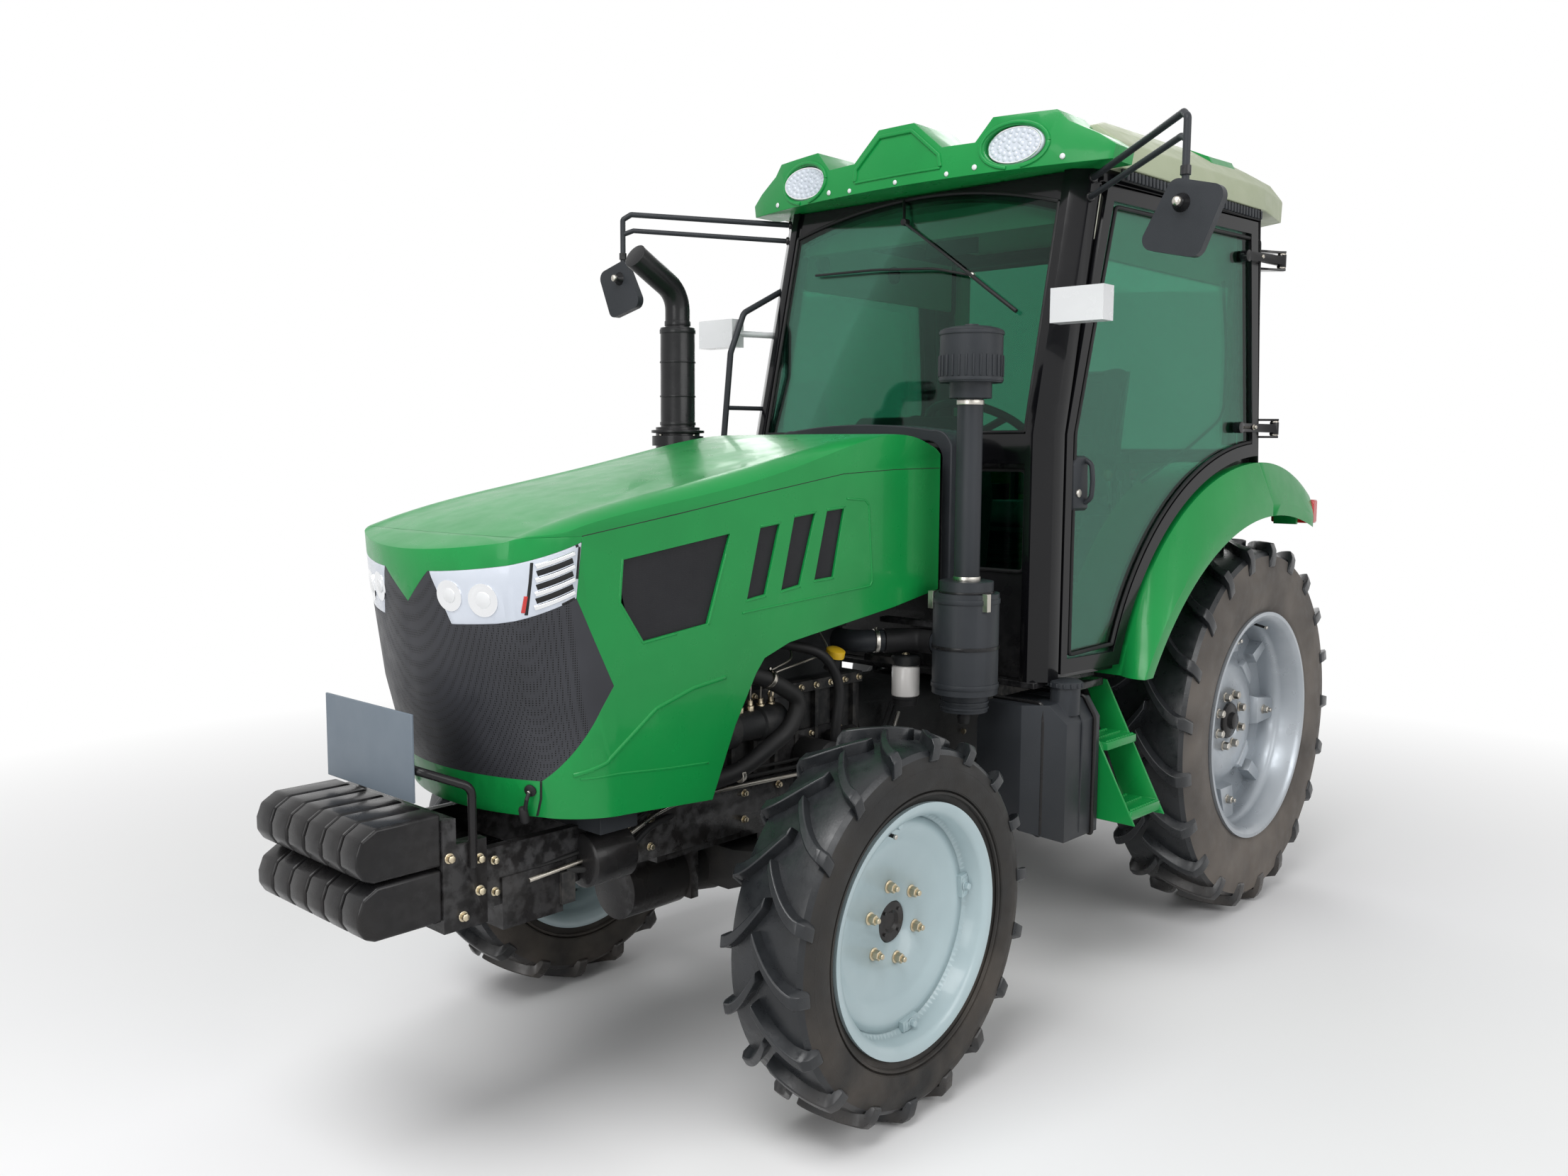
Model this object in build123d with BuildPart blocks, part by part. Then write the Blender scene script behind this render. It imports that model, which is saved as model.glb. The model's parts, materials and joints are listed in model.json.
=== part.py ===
from build123d import *
from math import acos, cos, degrees, radians, sin
import os

os.makedirs("parts", exist_ok=True)

# Farm tractor with a cab. Millimetres. +X forward, +Y to the driver's left, +Z up from the ground.
# Sketches are drawn with x measured forward from the rear axle.

# ---------------------------------------------------------------- driving dimensions
WHEELBASE = 2195.0
FRONT_REACH = 3440.0        # rear axle to the face of the front weights
REAR_REACH = 950.0          # rear axle to the ends of the lower links
REAR_X = (REAR_REACH - FRONT_REACH) / 2

FRONT_R = 507.0             # front tyre over the lugs
FRONT_WIDTH = 256.0
FRONT_SEAT_R = 305.0        # 24 inch rim
FRONT_RIM_HALF = 112.0
FRONT_WHEEL_Y = 670.0
REAR_R = 703.0              # rear tyre over the lugs
REAR_WIDTH = 316.0
REAR_SEAT_R = 406.0         # 32 inch rim
REAR_RIM_HALF = 150.0
REAR_WHEEL_Y = 601.0

KINGPIN_Y = 560.0
STEER_ARM = 165.0
ARM_TOE = 45.0             # the steering arms lean inward by this much

BONNET_REAR = 1566.0
BONNET_HALF = 365.0
NOSE_R = 620.0              # curve of the nose seen from above
NOSE_FRONT = ((800, 3040), (960, 3085), (1146, 3133), (1430, 3174), (1800, 3200))   # height, foremost point
SKIN = 8.0

DECK_Z = 1020.0             # cab floor at the door
STEP_X = (950.0, 1140.0)
SEAT_DECK_Z = 1200.0        # raised floor under the seat
BELT_Z = 1780.0             # lower edge of the windscreen
DOOR_TOP = 2545.0
ROOF_Z = 2590.0             # underside of the roof
FENDER_X = 79.0             # centre of the curve over the wheel arch
FENDER_Z = 788.0
FENDER_R = 908.0
FENDER_IN = 430.0
LIP_X = -29.0               # centre of the curve along the fender's outer edge
LIP_Z = 326.0
LIP_R = 1217.0
LIP_Y = 766.0


def side(y=0.0):
    """Side view at Y=y: local x forward from the rear axle, local y up, facing -Y."""
    return Plane(origin=(REAR_X, y, 0), x_dir=(1, 0, 0), z_dir=(0, -1, 0))


def cross(x=0.0, z=0.0):
    """Front view at x from the rear axle: local x is +Y, local y is up from z, facing +X."""
    return Plane(origin=(REAR_X + x, 0, z), x_dir=(0, 1, 0), z_dir=(1, 0, 0))


def level(z=0.0):
    """Plan view at height z: local x forward from the rear axle, local y is +Y."""
    return Plane(origin=(REAR_X, 0, z), x_dir=(1, 0, 0), z_dir=(0, 0, 1))


def at(x, y, z):
    """Model position of a point given from the rear axle."""
    return (REAR_X + x, y, z)


def bar(start, end, radius):
    """Solid round bar between two points given from the rear axle."""
    low, high = Vector(*at(*start)), Vector(*at(*end))
    return Solid.make_cylinder(radius, (high - low).length, Plane(origin=low, z_dir=high - low))


def tube_along(points, radius, bend):
    """Round bar along straight runs with equal bends."""
    with BuildPart() as piece:
        with BuildLine() as path:
            FilletPolyline(*[at(*point) for point in points], radius=bend)
        with BuildSketch(Plane(origin=path.wire() @ 0, z_dir=path.wire() % 0)):
            Circle(radius)
        sweep()
    return piece.part


def plate(outline, y_low, y_high):
    """Flat plate cut to a side-view outline, between two values of Y."""
    with BuildPart() as piece:
        with BuildSketch(side(y_high)):
            with BuildLine():
                Polyline(*outline, close=True)
            make_face()
        extrude(amount=y_high - y_low)
    return piece.part


def block(x_low, x_high, y_low, y_high, z_low, z_high):
    """Rectangular block between given limits."""
    with BuildPart() as piece:
        with BuildSketch(level(z_low)):
            with Locations(((x_low + x_high) / 2, (y_low + y_high) / 2)):
                Rectangle(x_high - x_low, y_high - y_low)
        extrude(amount=z_high - z_low)
    return piece.part


# ---------------------------------------------------------------- wheels
def make_tyre(x, y, radius, width, seat_r, rim_half):
    """Hollow tyre, open at its beads, between the rim flanges."""
    bead = rim_half - 12
    flange_r = seat_r + 26
    middle_r = seat_r + 0.42 * (radius - seat_r)
    shoulder = 0.43 * width
    wall = 26
    with BuildPart() as piece:
        with BuildSketch(Plane(origin=at(x, y, radius), x_dir=(0, 1, 0), z_dir=(1, 0, 0))):
            with BuildLine():
                side_wall = ThreePointArc((bead, flange_r), (width / 2, middle_r), (shoulder, radius - 40))
                rounding = Line(side_wall @ 1, (shoulder - 22, radius - 10))
                tread = ThreePointArc(rounding @ 1, (0, radius), (22 - shoulder, radius - 10))
                other = Line(tread @ 1, (-shoulder, radius - 40))
                ThreePointArc(other @ 1, (-width / 2, middle_r), (-bead, flange_r))
                Polyline((-bead, flange_r), (-bead, seat_r), (-bead + wall, seat_r))
                hollow = ThreePointArc((-bead + wall, seat_r), (wall - width / 2, middle_r),
                                       (wall - shoulder, radius - 62))
                roof = Line(hollow @ 1, (shoulder - wall, radius - 62))
                inner = ThreePointArc(roof @ 1, (width / 2 - wall, middle_r), (bead - wall, seat_r))
                Polyline(inner @ 1, (bead, seat_r), (bead, flange_r))
            make_face()
        revolve(axis=Axis(at(x, y, radius), (0, 1, 0)))
    return piece


def make_rim(x, y, radius, seat_r, rim_half, well, disc, hub, out):
    """Rim, pressed disc and hub in one; out is +1 on the left and -1 on the right."""
    lip = rim_half - 12
    with BuildPart() as piece:
        with BuildSketch(Plane(origin=at(x, y, radius), x_dir=(0, out, 0), z_dir=(out, 0, 0))):
            with BuildLine():
                Polyline(
                    (rim_half, seat_r + 25), (lip, seat_r + 25), (lip, seat_r), (0.5 * lip, seat_r),
                    (0.3 * lip, seat_r - well), (-0.3 * lip, seat_r - well), (-0.5 * lip, seat_r),
                    (-lip, seat_r), (-lip, seat_r + 25), (-rim_half, seat_r + 25),
                    (-rim_half, seat_r + 12), (-lip + 3, seat_r - 10), (-0.5 * lip - 3, seat_r - 10),
                    (-0.3 * lip - 3, seat_r - well - 10), (0.3 * lip + 3, seat_r - well - 10),
                    (0.5 * lip + 3, seat_r - 10), (lip - 3, seat_r - 10), (rim_half, seat_r + 12),
                    close=True,
                )
            make_face()
            with BuildLine():
                Polyline(*disc, close=True)
            make_face()
            with BuildLine():
                Polyline(*hub, close=True)
            make_face()
        revolve(axis=Axis(at(x, y, radius), (0, 1, 0)))
    return piece


# Distances along the axle from the wheel's middle, outward, and radii.
FRONT_DISC = [(8, 56), (22, 56), (22, 205), (44, 252), (44, 280), (30, 280), (30, 256), (8, 209)]
FRONT_HUB = [(-24, 50.05), (8, 50.05), (8, 120), (-8, 120), (-8, 84), (-24, 84)]
REAR_DISC = [(6, 70), (22, 70), (22, 205), (-12, 262), (-12, 388), (-28, 388), (-28, 254), (6, 197)]
REAR_HUB = [(-20, 45), (6, 45), (6, 130), (-20, 130)]

tyres = {}
rims = {}
for end, x, y, radius, width, seat_r, rim_half in (
    ("front", WHEELBASE, FRONT_WHEEL_Y, FRONT_R, FRONT_WIDTH, FRONT_SEAT_R, FRONT_RIM_HALF),
    ("rear", 0.0, REAR_WHEEL_Y, REAR_R, REAR_WIDTH, REAR_SEAT_R, REAR_RIM_HALF),
):
    for hand, out in (("left", 1), ("right", -1)):
        tyres[f"{end}_{hand}_tyre"] = make_tyre(x, out * y, radius, width, seat_r, rim_half)
        disc, hub = (FRONT_DISC, FRONT_HUB) if end == "front" else (REAR_DISC, REAR_HUB)
        well = 22 if end == "front" else 18
        rims[f"{end}_{hand}_rim"] = make_rim(x, out * y, radius, seat_r, rim_half, well, disc, hub, out)

# The rear half shafts turn with the wheels inside the axle trumpets.
SHAFT_R = 45.0
for hand, out in (("left", 1), ("right", -1)):
    with BuildPart() as shaft:
        add(rims[f"rear_{hand}_rim"].part)
        add(bar((0, out * (REAR_WHEEL_Y + 22), REAR_R), (0, out * 330, REAR_R), SHAFT_R))
    rims[f"rear_{hand}_rim"] = shaft

# ---------------------------------------------------------------- front axle and steering
AXLE_Z = 520.0
TRUNNION_R = 42.0
EYE_LOW = 600.0
EYE_HIGH = 690.0
with BuildPart() as front_axle:
    with BuildSketch(cross(WHEELBASE)):
        with BuildLine():
            Polyline((-KINGPIN_Y, EYE_LOW), (-460, EYE_LOW), (-320, 545), (-150, 480), (150, 480),
                     (320, 545), (460, EYE_LOW), (KINGPIN_Y, EYE_LOW), (KINGPIN_Y, EYE_HIGH),
                     (330, 625), (170, 600), (-170, 600), (-330, 625), (-KINGPIN_Y, EYE_HIGH), close=True)
        make_face()
    extrude(amount=62, both=True)
    with BuildSketch(Plane(origin=at(WHEELBASE, 0, AXLE_Z), z_dir=(1, 0, 0))):
        Circle(84)
    extrude(amount=112, both=True, taper=8)
    add(bar((WHEELBASE - 100, 0, AXLE_Z), (1500, 0, AXLE_Z), TRUNNION_R))
    add(bar((WHEELBASE + 100, 0, AXLE_Z), (WHEELBASE + 160, 0, AXLE_Z), TRUNNION_R))
    for out in (1, -1):
        with BuildSketch(level(EYE_LOW)):
            with Locations((WHEELBASE, out * KINGPIN_Y)):
                Circle(78)
        extrude(amount=EYE_HIGH - EYE_LOW)
        with BuildSketch(level(EYE_LOW - 1)):
            with Locations((WHEELBASE, out * KINGPIN_Y)):
                Circle(40.05)
        extrude(amount=EYE_HIGH - EYE_LOW + 2, mode=Mode.SUBTRACT)

BALL_PIN_Y = KINGPIN_Y - ARM_TOE
ARM_Z = 400.0
ROD_Z = 455.0
knuckles = {}
for hand, out in (("left", 1), ("right", -1)):
    with BuildPart() as knuckle:
        with BuildSketch(level(395)):
            with Locations((WHEELBASE, out * KINGPIN_Y)):
                Circle(80)
        extrude(amount=EYE_LOW - 2 - 395)
        add(bar((WHEELBASE, out * KINGPIN_Y, EYE_LOW - 4), (WHEELBASE, out * KINGPIN_Y, EYE_HIGH + 4), 40))
        add(bar((WHEELBASE, out * KINGPIN_Y, EYE_HIGH + 2), (WHEELBASE, out * KINGPIN_Y, EYE_HIGH + 26), 74))
        add(bar((WHEELBASE, out * KINGPIN_Y, FRONT_R), (WHEELBASE, out * (FRONT_WHEEL_Y - 27), FRONT_R), 88))
        add(bar((WHEELBASE, out * KINGPIN_Y, FRONT_R), (WHEELBASE, out * (FRONT_WHEEL_Y + 4), FRONT_R), 50))
        with BuildSketch(level(ARM_Z)):
            with BuildLine():
                Polyline((WHEELBASE, out * (KINGPIN_Y - 50)), (WHEELBASE, out * (KINGPIN_Y + 50)),
                         (WHEELBASE - STEER_ARM, out * (BALL_PIN_Y + 26)),
                         (WHEELBASE - STEER_ARM - 28, out * BALL_PIN_Y),
                         (WHEELBASE - STEER_ARM, out * (BALL_PIN_Y - 26)), close=True)
            make_face()
        extrude(amount=28)
        add(bar((WHEELBASE - STEER_ARM, out * BALL_PIN_Y, ARM_Z + 26),
                (WHEELBASE - STEER_ARM, out * BALL_PIN_Y, ROD_Z - 24), 13))
    knuckles[hand] = knuckle

with BuildPart() as steering_rod:
    add(bar((WHEELBASE - STEER_ARM, BALL_PIN_Y, ROD_Z), (WHEELBASE - STEER_ARM, -BALL_PIN_Y, ROD_Z), 14))
    for out in (1, -1):
        add(bar((WHEELBASE - STEER_ARM, out * BALL_PIN_Y, ROD_Z - 18),
                (WHEELBASE - STEER_ARM, out * BALL_PIN_Y, ROD_Z + 20), 24))

# ---------------------------------------------------------------- engine, gearbox and frame
RAIL_LOW, RAIL_HIGH = 660.0, 800.0
with BuildPart() as front_frame:
    for out in (1, -1):
        add(block(1640, 3200, min(out * 178, out * 206), max(out * 178, out * 206), RAIL_LOW, RAIL_HIGH))
        add(block(3120, 3200, *sorted((out * 200, out * 235)), 640, 840))
    add(block(3200, 3235, -235, 235, 640, 900))
    add(block(3060, 3200, -178, 178, RAIL_LOW, RAIL_LOW + 20))
    add(block(2890, 3065, -215, 215, 600, 725))
    add(block(2052, 2550, -178, 178, 632, RAIL_LOW + 20))
    for low, high in ((2052, 2076), (2317, 2345)):
        add(block(low, high, -90, 90, 460, 640))
    add(bar((2345, 0, AXLE_Z), (2550, 0, AXLE_Z), 86))
    add(block(2345, 2550, -50, 50, 590, 640))
    add(bar((2040, 0, AXLE_Z), (2362, 0, AXLE_Z), TRUNNION_R + 0.05), mode=Mode.SUBTRACT)
    add(tube_along([(3160, 240, 780), (3160, 240, 965), (3262, 190, 1010), (3262, -190, 1010), (3160, -240, 965),
                    (3160, -240, 780)], 10, 30))

ENGINE_FRONT, ENGINE_REAR = 2560.0, 1700.0
with BuildPart() as engine:
    add(block(ENGINE_REAR, ENGINE_FRONT, -170, 170, 682, 1050))
    add(block(ENGINE_REAR + 40, ENGINE_FRONT - 40, -135, 135, 1050, 1210))
    add(block(ENGINE_REAR + 80, ENGINE_FRONT - 80, -85, 85, 1210, 1300))
    add(bar((ENGINE_FRONT, 0, 1060), (ENGINE_FRONT + 70, 0, 1060), 60))
    add(bar((ENGINE_FRONT + 70, 0, 1060), (ENGINE_FRONT + 100, 0, 1060), 215))

with BuildPart() as radiator:
    add(block(2720, 2830, -290, 290, RAIL_HIGH, 1400))

with BuildPart() as gearbox:
    with BuildSketch(cross(ENGINE_REAR)):
        with Locations((0, 830)):
            Circle(175)
    with BuildSketch(cross(1150)):
        with Locations((0, 770)):
            RectangleRounded(330, 380, 60)
    loft()
    add(block(300, 1150, -165, 165, 580, 960))
    for out in (1, -1):
        for x in (1180, 1320):
            add(block(x - 15, x + 15, *sorted((out * 150, out * 440)), 640, 690))
        for x in (560, 1080):
            add(bar((x, out * 110, 955), (x, out * 110, DECK_Z - 20), 45))

with BuildPart() as rear_axle:
    add(block(-290, 300, -215, 215, 500, 960))
    for out in (1, -1):
        add(bar((0, out * 215, REAR_R), (0, out * 430, REAR_R), 92))
    for out in (1, -1):
        add(bar((0, out * 320, REAR_R), (0, out * 431, REAR_R), 45.05), mode=Mode.SUBTRACT)

# ---------------------------------------------------------------- front weights
WEIGHT_HALF = 36.0
with BuildPart() as front_weights:
    for low in (668, 796):
        face = [(3235, low), (3235, low + 120), (3392, low + 120), (3428, low + 98), (FRONT_REACH, low + 66),
                (FRONT_REACH, low + 36), (3424, low + 10), (3400, low)]
        for step in range(6):
            centre = (step - 2.5) * 78
            add(plate(face, centre - WEIGHT_HALF, centre + WEIGHT_HALF))

with BuildPart() as number_plate:
    add(block(3272, 3278, -190, 190, 940, 1140))

# ---------------------------------------------------------------- bonnet
def nose_outline(inset, z, foremost):
    """Plan outline of the bonnet at height z, set in by inset."""
    front = foremost - inset
    half = BONNET_HALF - inset
    radius = NOSE_R - inset
    turn = 29.0
    knee = (front - radius + radius * cos(radians(turn)), radius * sin(radians(turn)))
    flank = knee[0] - 160
    with BuildSketch(level(z)) as outline:
        with BuildLine():
            Polyline((flank, half), (BONNET_REAR, half), (BONNET_REAR, -half), (flank, -half))
            ThreePointArc((flank, -half), ((flank + knee[0]) / 2 + 22, -(half + knee[1]) / 2 - 14),
                          (knee[0], -knee[1]))
            ThreePointArc((knee[0], -knee[1]), (front, 0), knee)
            ThreePointArc(knee, ((flank + knee[0]) / 2 + 22, (half + knee[1]) / 2 + 14), (flank, half))
        make_face()
    return outline.sketch


def nose_block(inset):
    """Upright block with the bonnet's plan outline and the nose's profile."""
    with BuildPart() as piece:
        loft([nose_outline(inset, z, foremost) for z, foremost in NOSE_FRONT], ruled=True)
    return piece.part


# Crown stations: x from the rear axle, height of the seam, height of the crown.
CROWN = ((BONNET_REAR, 1676, 1758), (2250, 1628, 1715), (2800, 1546, 1606), (3020, 1506, 1550), (3200, 1440, 1482),
         (3280, 1400, 1440))


def crown_outline(x, half, seam, crown, inset, low):
    """Section across the crowned top at x, with its sides down to low."""
    rise = crown - seam
    edge = (0.80 * half, crown - 0.16 * rise - inset)
    knee = (half, seam + 0.42 * rise - inset)
    with BuildSketch(cross(x)) as outline:
        with BuildLine():
            Polyline((-knee[0], knee[1]), (-half, low), (half, low), knee)
            ThreePointArc(knee, (0.945 * half, edge[1] - 0.32 * (edge[1] - knee[1])), edge)
            ThreePointArc(edge, (0, crown - inset), (-edge[0], edge[1]))
            ThreePointArc((-edge[0], edge[1]), (-0.945 * half, edge[1] - 0.32 * (edge[1] - knee[1])),
                          (-knee[0], knee[1]))
        make_face()
    return outline.sketch


def crown_block(inset):
    """Body under the crowned top of the bonnet."""
    with BuildPart() as piece:
        loft([crown_outline(x, BONNET_HALF + 4 - inset, seam, crown, inset, 700) for x, seam, crown in CROWN])
    return piece.part


def window(outline, reach=600):
    """Cutter through both sides with a side-view outline."""
    with BuildPart() as piece:
        with BuildSketch(side(0)):
            with BuildLine():
                Polyline(*outline, close=True)
            make_face()
        extrude(amount=reach, both=True)
    return piece.part


def front_cut(outline):
    """Cutter through the nose with a front-view outline."""
    with BuildPart() as piece:
        with BuildSketch(cross(2900)):
            with BuildLine():
                Polyline(*outline, close=True)
            make_face()
        extrude(amount=500)
    return piece.part


SEAM = ((BONNET_REAR - 10, 1676), (1790, 1672), (2020, 1661), (2370, 1610), (2650, 1567), (2939, 1526))
LAMP_TOP = ((2939, 1513), (3170, 1443), (3400, 1373))
LAMP_LOW = ((2957, 1385), (3100, 1331), (3165, 1318), (3400, 1271))
GRILLE_TIP = (2849, 1171)
CHIN_TOP = (3010, 960)
CHIN_LOW = ((3000, 868), (3400, 850))
ARCH_EDGE = ((2527, 835), (2445, 1015), (2368, 1142), (2336, 1179), (2239, 1211), (2032, 1237), (1786, 1269),
             (BONNET_REAR - 10, 1308))
LAMP_GAP = [(-76, 1490), (76, 1490), (161, 1280), (-161, 1280)]      # between the lamps, from the front
WEDGE = [(-120, 1468), (120, 1468), (0, 1367)]

with BuildPart() as body:
    add(nose_block(0))
    add(crown_block(0), mode=Mode.INTERSECT)
with BuildPart() as core:
    add(nose_block(SKIN))
    add(crown_block(SKIN), mode=Mode.INTERSECT)
with BuildPart() as shell:
    add(body.part)
    add(core.part, mode=Mode.SUBTRACT)

with BuildPart() as bonnet_top:
    add(shell.part)
    add(window([*SEAM, (3400, 1526), (3400, 1900), (BONNET_REAR - 10, 1900)]), mode=Mode.INTERSECT)

PANEL = [*((x, z - 0.3) for x, z in SEAM), LAMP_TOP[0], LAMP_LOW[0], GRILLE_TIP, CHIN_TOP, CHIN_LOW[0], *ARCH_EDGE]
MESH = [(2816, 1466), (2465, 1513), (2545, 1290), (2756, 1267), (2825, 1366)]
SLOTS = [
    [(2354, 1523), (2280, 1531), (2334, 1348), (2403, 1340)],
    [(2223, 1546), (2138, 1555), (2199, 1364), (2273, 1354)],
    [(2090, 1559), (2016, 1565), (2061, 1377), (2140, 1373)],
]

panels = {}
for hand, out in (("left", 1), ("right", -1)):
    with BuildPart() as panel:
        add(shell.part)
        add(window(PANEL), mode=Mode.INTERSECT)
        for hole in (MESH, *SLOTS):
            add(window(hole), mode=Mode.SUBTRACT)
        split(bisect_by=Plane.XZ, keep=Keep.BOTTOM if out > 0 else Keep.TOP)
    panels[hand] = panel

with BuildPart() as bonnet_mesh:
    for out in (1, -1):
        low, high = sorted((out * (BONNET_HALF - SKIN - 4), out * (BONNET_HALF - SKIN)))
        add(plate([(2840, 1480), (2380, 1560), (2000, 1590), (1985, 1560), (2040, 1350), (2100, 1310), (2780, 1240)],
                  low, high))

with BuildPart() as headlamps:
    add(body.part)
    add(nose_block(55), mode=Mode.SUBTRACT)
    add(window([*LAMP_TOP, *reversed(LAMP_LOW)]), mode=Mode.INTERSECT)
    add(front_cut(LAMP_GAP), mode=Mode.SUBTRACT)

with BuildPart() as grille:
    add(shell.part)
    with BuildPart(mode=Mode.PRIVATE) as region:
        add(window([*LAMP_LOW, (3400, 960), CHIN_TOP, GRILLE_TIP]))
        with BuildPart(mode=Mode.PRIVATE) as gap:
            add(window([*LAMP_TOP, *reversed(LAMP_LOW)]))
            add(front_cut(LAMP_GAP), mode=Mode.INTERSECT)
        add(gap.part)
        add(front_cut(WEDGE), mode=Mode.SUBTRACT)
    add(region.part, mode=Mode.INTERSECT)

with BuildPart() as nose:
    add(shell.part)
    with BuildPart(mode=Mode.PRIVATE) as region:
        add(window([CHIN_TOP, CHIN_LOW[0], CHIN_LOW[1], (3400, 960)]))
        add(window([(2939, 1525.7), *LAMP_TOP, (3400, 1525.7)]))
        with BuildPart(mode=Mode.PRIVATE) as tip:
            add(window([*LAMP_TOP, *reversed(LAMP_LOW)]))
            add(front_cut(WEDGE), mode=Mode.INTERSECT)
        add(tip.part)
    add(region.part, mode=Mode.INTERSECT)

# Cowl between the bonnet's rear edge and the cab.
with BuildPart() as cowl:
    extrude(crown_outline(1385, BONNET_HALF, 1690, 1812, 0, 1300), amount=125)
    extrude(crown_outline(1384, BONNET_HALF - 34, 1690, 1812, 34, 1299), amount=127, mode=Mode.SUBTRACT)
    add(block(1384, 1478, -400, 400, 1299, 1690), mode=Mode.SUBTRACT)

# ---------------------------------------------------------------- fenders
DOOR_FOOT = Vector(*at(110, 745, 0))
DOOR_RUN = Vector(1180, -108, 0)
DOOR_PLANE = Plane(origin=DOOR_FOOT, x_dir=DOOR_RUN, z_dir=DOOR_RUN.cross(Vector(0, 0, 1)))
DOOR_FRONT = DOOR_RUN.length

# The arch runs straight out to its crest, in the plane of the door ahead of the door's rear edge and
# parallel to the side behind it, then falls to the fender's outer edge.
CREST_TURN = degrees(acos((110 - FENDER_X) / FENDER_R))
ARCHES = [
    (
        (side(FENDER_IN), (FENDER_X, FENDER_Z), FENDER_R, low, high, SKIN),
        (crest, (FENDER_X - shift, FENDER_Z), FENDER_R, low, high, SKIN),
        (side(LIP_Y), (LIP_X, LIP_Z), LIP_R, low, high, 45),
    )
    for crest, shift, low, high in ((DOOR_PLANE, 110, 5, CREST_TURN), (side(745), 0, CREST_TURN, 125))
]


def arch_section(place, centre, radius, low, high, depth=None):
    """Band under an arc, or with no depth the whole slice down to the arc's centre. Bands leave a fine joint."""
    joint = 0.02 if depth else 0
    with BuildSketch(place) as section:
        with BuildLine():
            outer = CenterArc(centre, radius, low + joint, high - low - joint)
            if depth is None:
                Polyline(outer @ 1, centre, outer @ 0)
            else:
                inner = CenterArc(centre, radius - depth, low + joint, high - low - joint)
                Line(outer @ 1, inner @ 1)
                Line(inner @ 0, outer @ 0)
        make_face()
    return section.sketch


under_arch = []
for arch, lap in zip(ARCHES, (0, 0.5)):
    with BuildPart() as piece:
        loft([arch_section(*section[:3], section[3] - lap, section[4]) for section in arch], ruled=True)
    under_arch.extend([piece.part, piece.part.mirror(Plane.XZ)])

with BuildPart() as left_fender:
    for arch in ARCHES:
        loft([arch_section(*section) for section in arch], ruled=True)
    add(block(-390, 1100, 400, 800, 1000, 1750), mode=Mode.INTERSECT)
    add(block(-402, -384, 610, 700, 1450, 1566))
with BuildPart() as right_fender:
    mirror(left_fender.part, about=Plane.XZ)

# ---------------------------------------------------------------- cab
LEAN = 186.0                # the windscreen's top lies this far behind its foot at the roof
REAR_LEAN = 80.0            # the rear pillar's top lies this far ahead of its foot
REAR_FOOT_Z = 1600.0
FRONT_POST = [(1385, 548), (1385, 575), (1345, 625), (1300, 634), (1300, 600), (1330, 548)]
REAR_POST = [(-75, 640), (-60, 674), (105, 743), (105, 700), (0, 690), (-20, 640)]
HINGE = (60, 775)
HINGE_LEVELS = (1820, 2420)
TILT = LEAN / (ROOF_Z - BELT_Z)
PANE_UP = Vector(-TILT, 0, 1).normalized()
PANE = Plane(origin=at(1376, 0, BELT_Z), x_dir=(0, 1, 0), z_dir=Vector(0, 1, 0).cross(PANE_UP))


def post(outline, low, high, shift, out):
    """Pillar with a plan outline, whose top is shifted along X."""
    with BuildPart() as piece:
        for z, move in ((low, 0), (high, shift)):
            with BuildSketch(level(z)):
                with BuildLine():
                    Polyline(*[(x + move, out * y) for x, y in outline], close=True)
                make_face()
        loft(ruled=True)
    return piece.part


def plan_plate(outline, low, high):
    """Plate with a plan outline between two heights."""
    with BuildPart() as piece:
        with BuildSketch(level(low)):
            with BuildLine():
                Polyline(*outline, close=True)
            make_face()
        extrude(amount=high - low)
    return piece.part


def sqrt_of(radius, rise):
    """Reach of a circle at a given rise from its centre."""
    return (radius * radius - rise * rise) ** 0.5


def door_outline(inset, depth=0.0):
    """Door outline in its own plane, set in by inset."""
    gap = FENDER_R + 25 + inset
    middle = FENDER_X - 110
    front = DOOR_FRONT - 0.72 * inset
    low = DECK_Z + 20 + inset
    with BuildSketch(DOOR_PLANE.offset(depth)) as outline:
        with BuildLine():
            foot = (sqrt_of(gap, low - FENDER_Z) + middle, low)
            heel = (10 + inset, FENDER_Z + sqrt_of(gap, 10 + inset - middle))
            Polyline(foot, (front, low), (front, BELT_Z), (front - 177, DOOR_TOP - inset),
                     (80 + inset, DOOR_TOP - inset), heel)
            ThreePointArc(heel, (gap * cos(radians(45)) + middle, gap * sin(radians(45)) + FENDER_Z), foot)
        make_face()
    return outline.sketch


with BuildPart() as left_jamb:
    extrude(door_outline(-30, 36), amount=30)
    extrude(door_outline(30, 36), amount=30, mode=Mode.SUBTRACT)
    add(block(800, 1400, 500, 760, 900, DECK_Z), mode=Mode.SUBTRACT)
    for z in HINGE_LEVELS:
        shift = REAR_LEAN * (z - REAR_FOOT_Z) / (ROOF_Z - REAR_FOOT_Z)
        lug = [(HINGE[0] - 16, HINGE[1]), (HINGE[0], HINGE[1] + 16), (HINGE[0] + 16, HINGE[1]), (100 + shift, 726),
               (40 + shift, 702)]
        for low in (z - 35, z + 27):
            add(plan_plate(lug, low, low + 8))
        add(bar((*HINGE, z - 30), (*HINGE, z + 30), 8))

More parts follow.
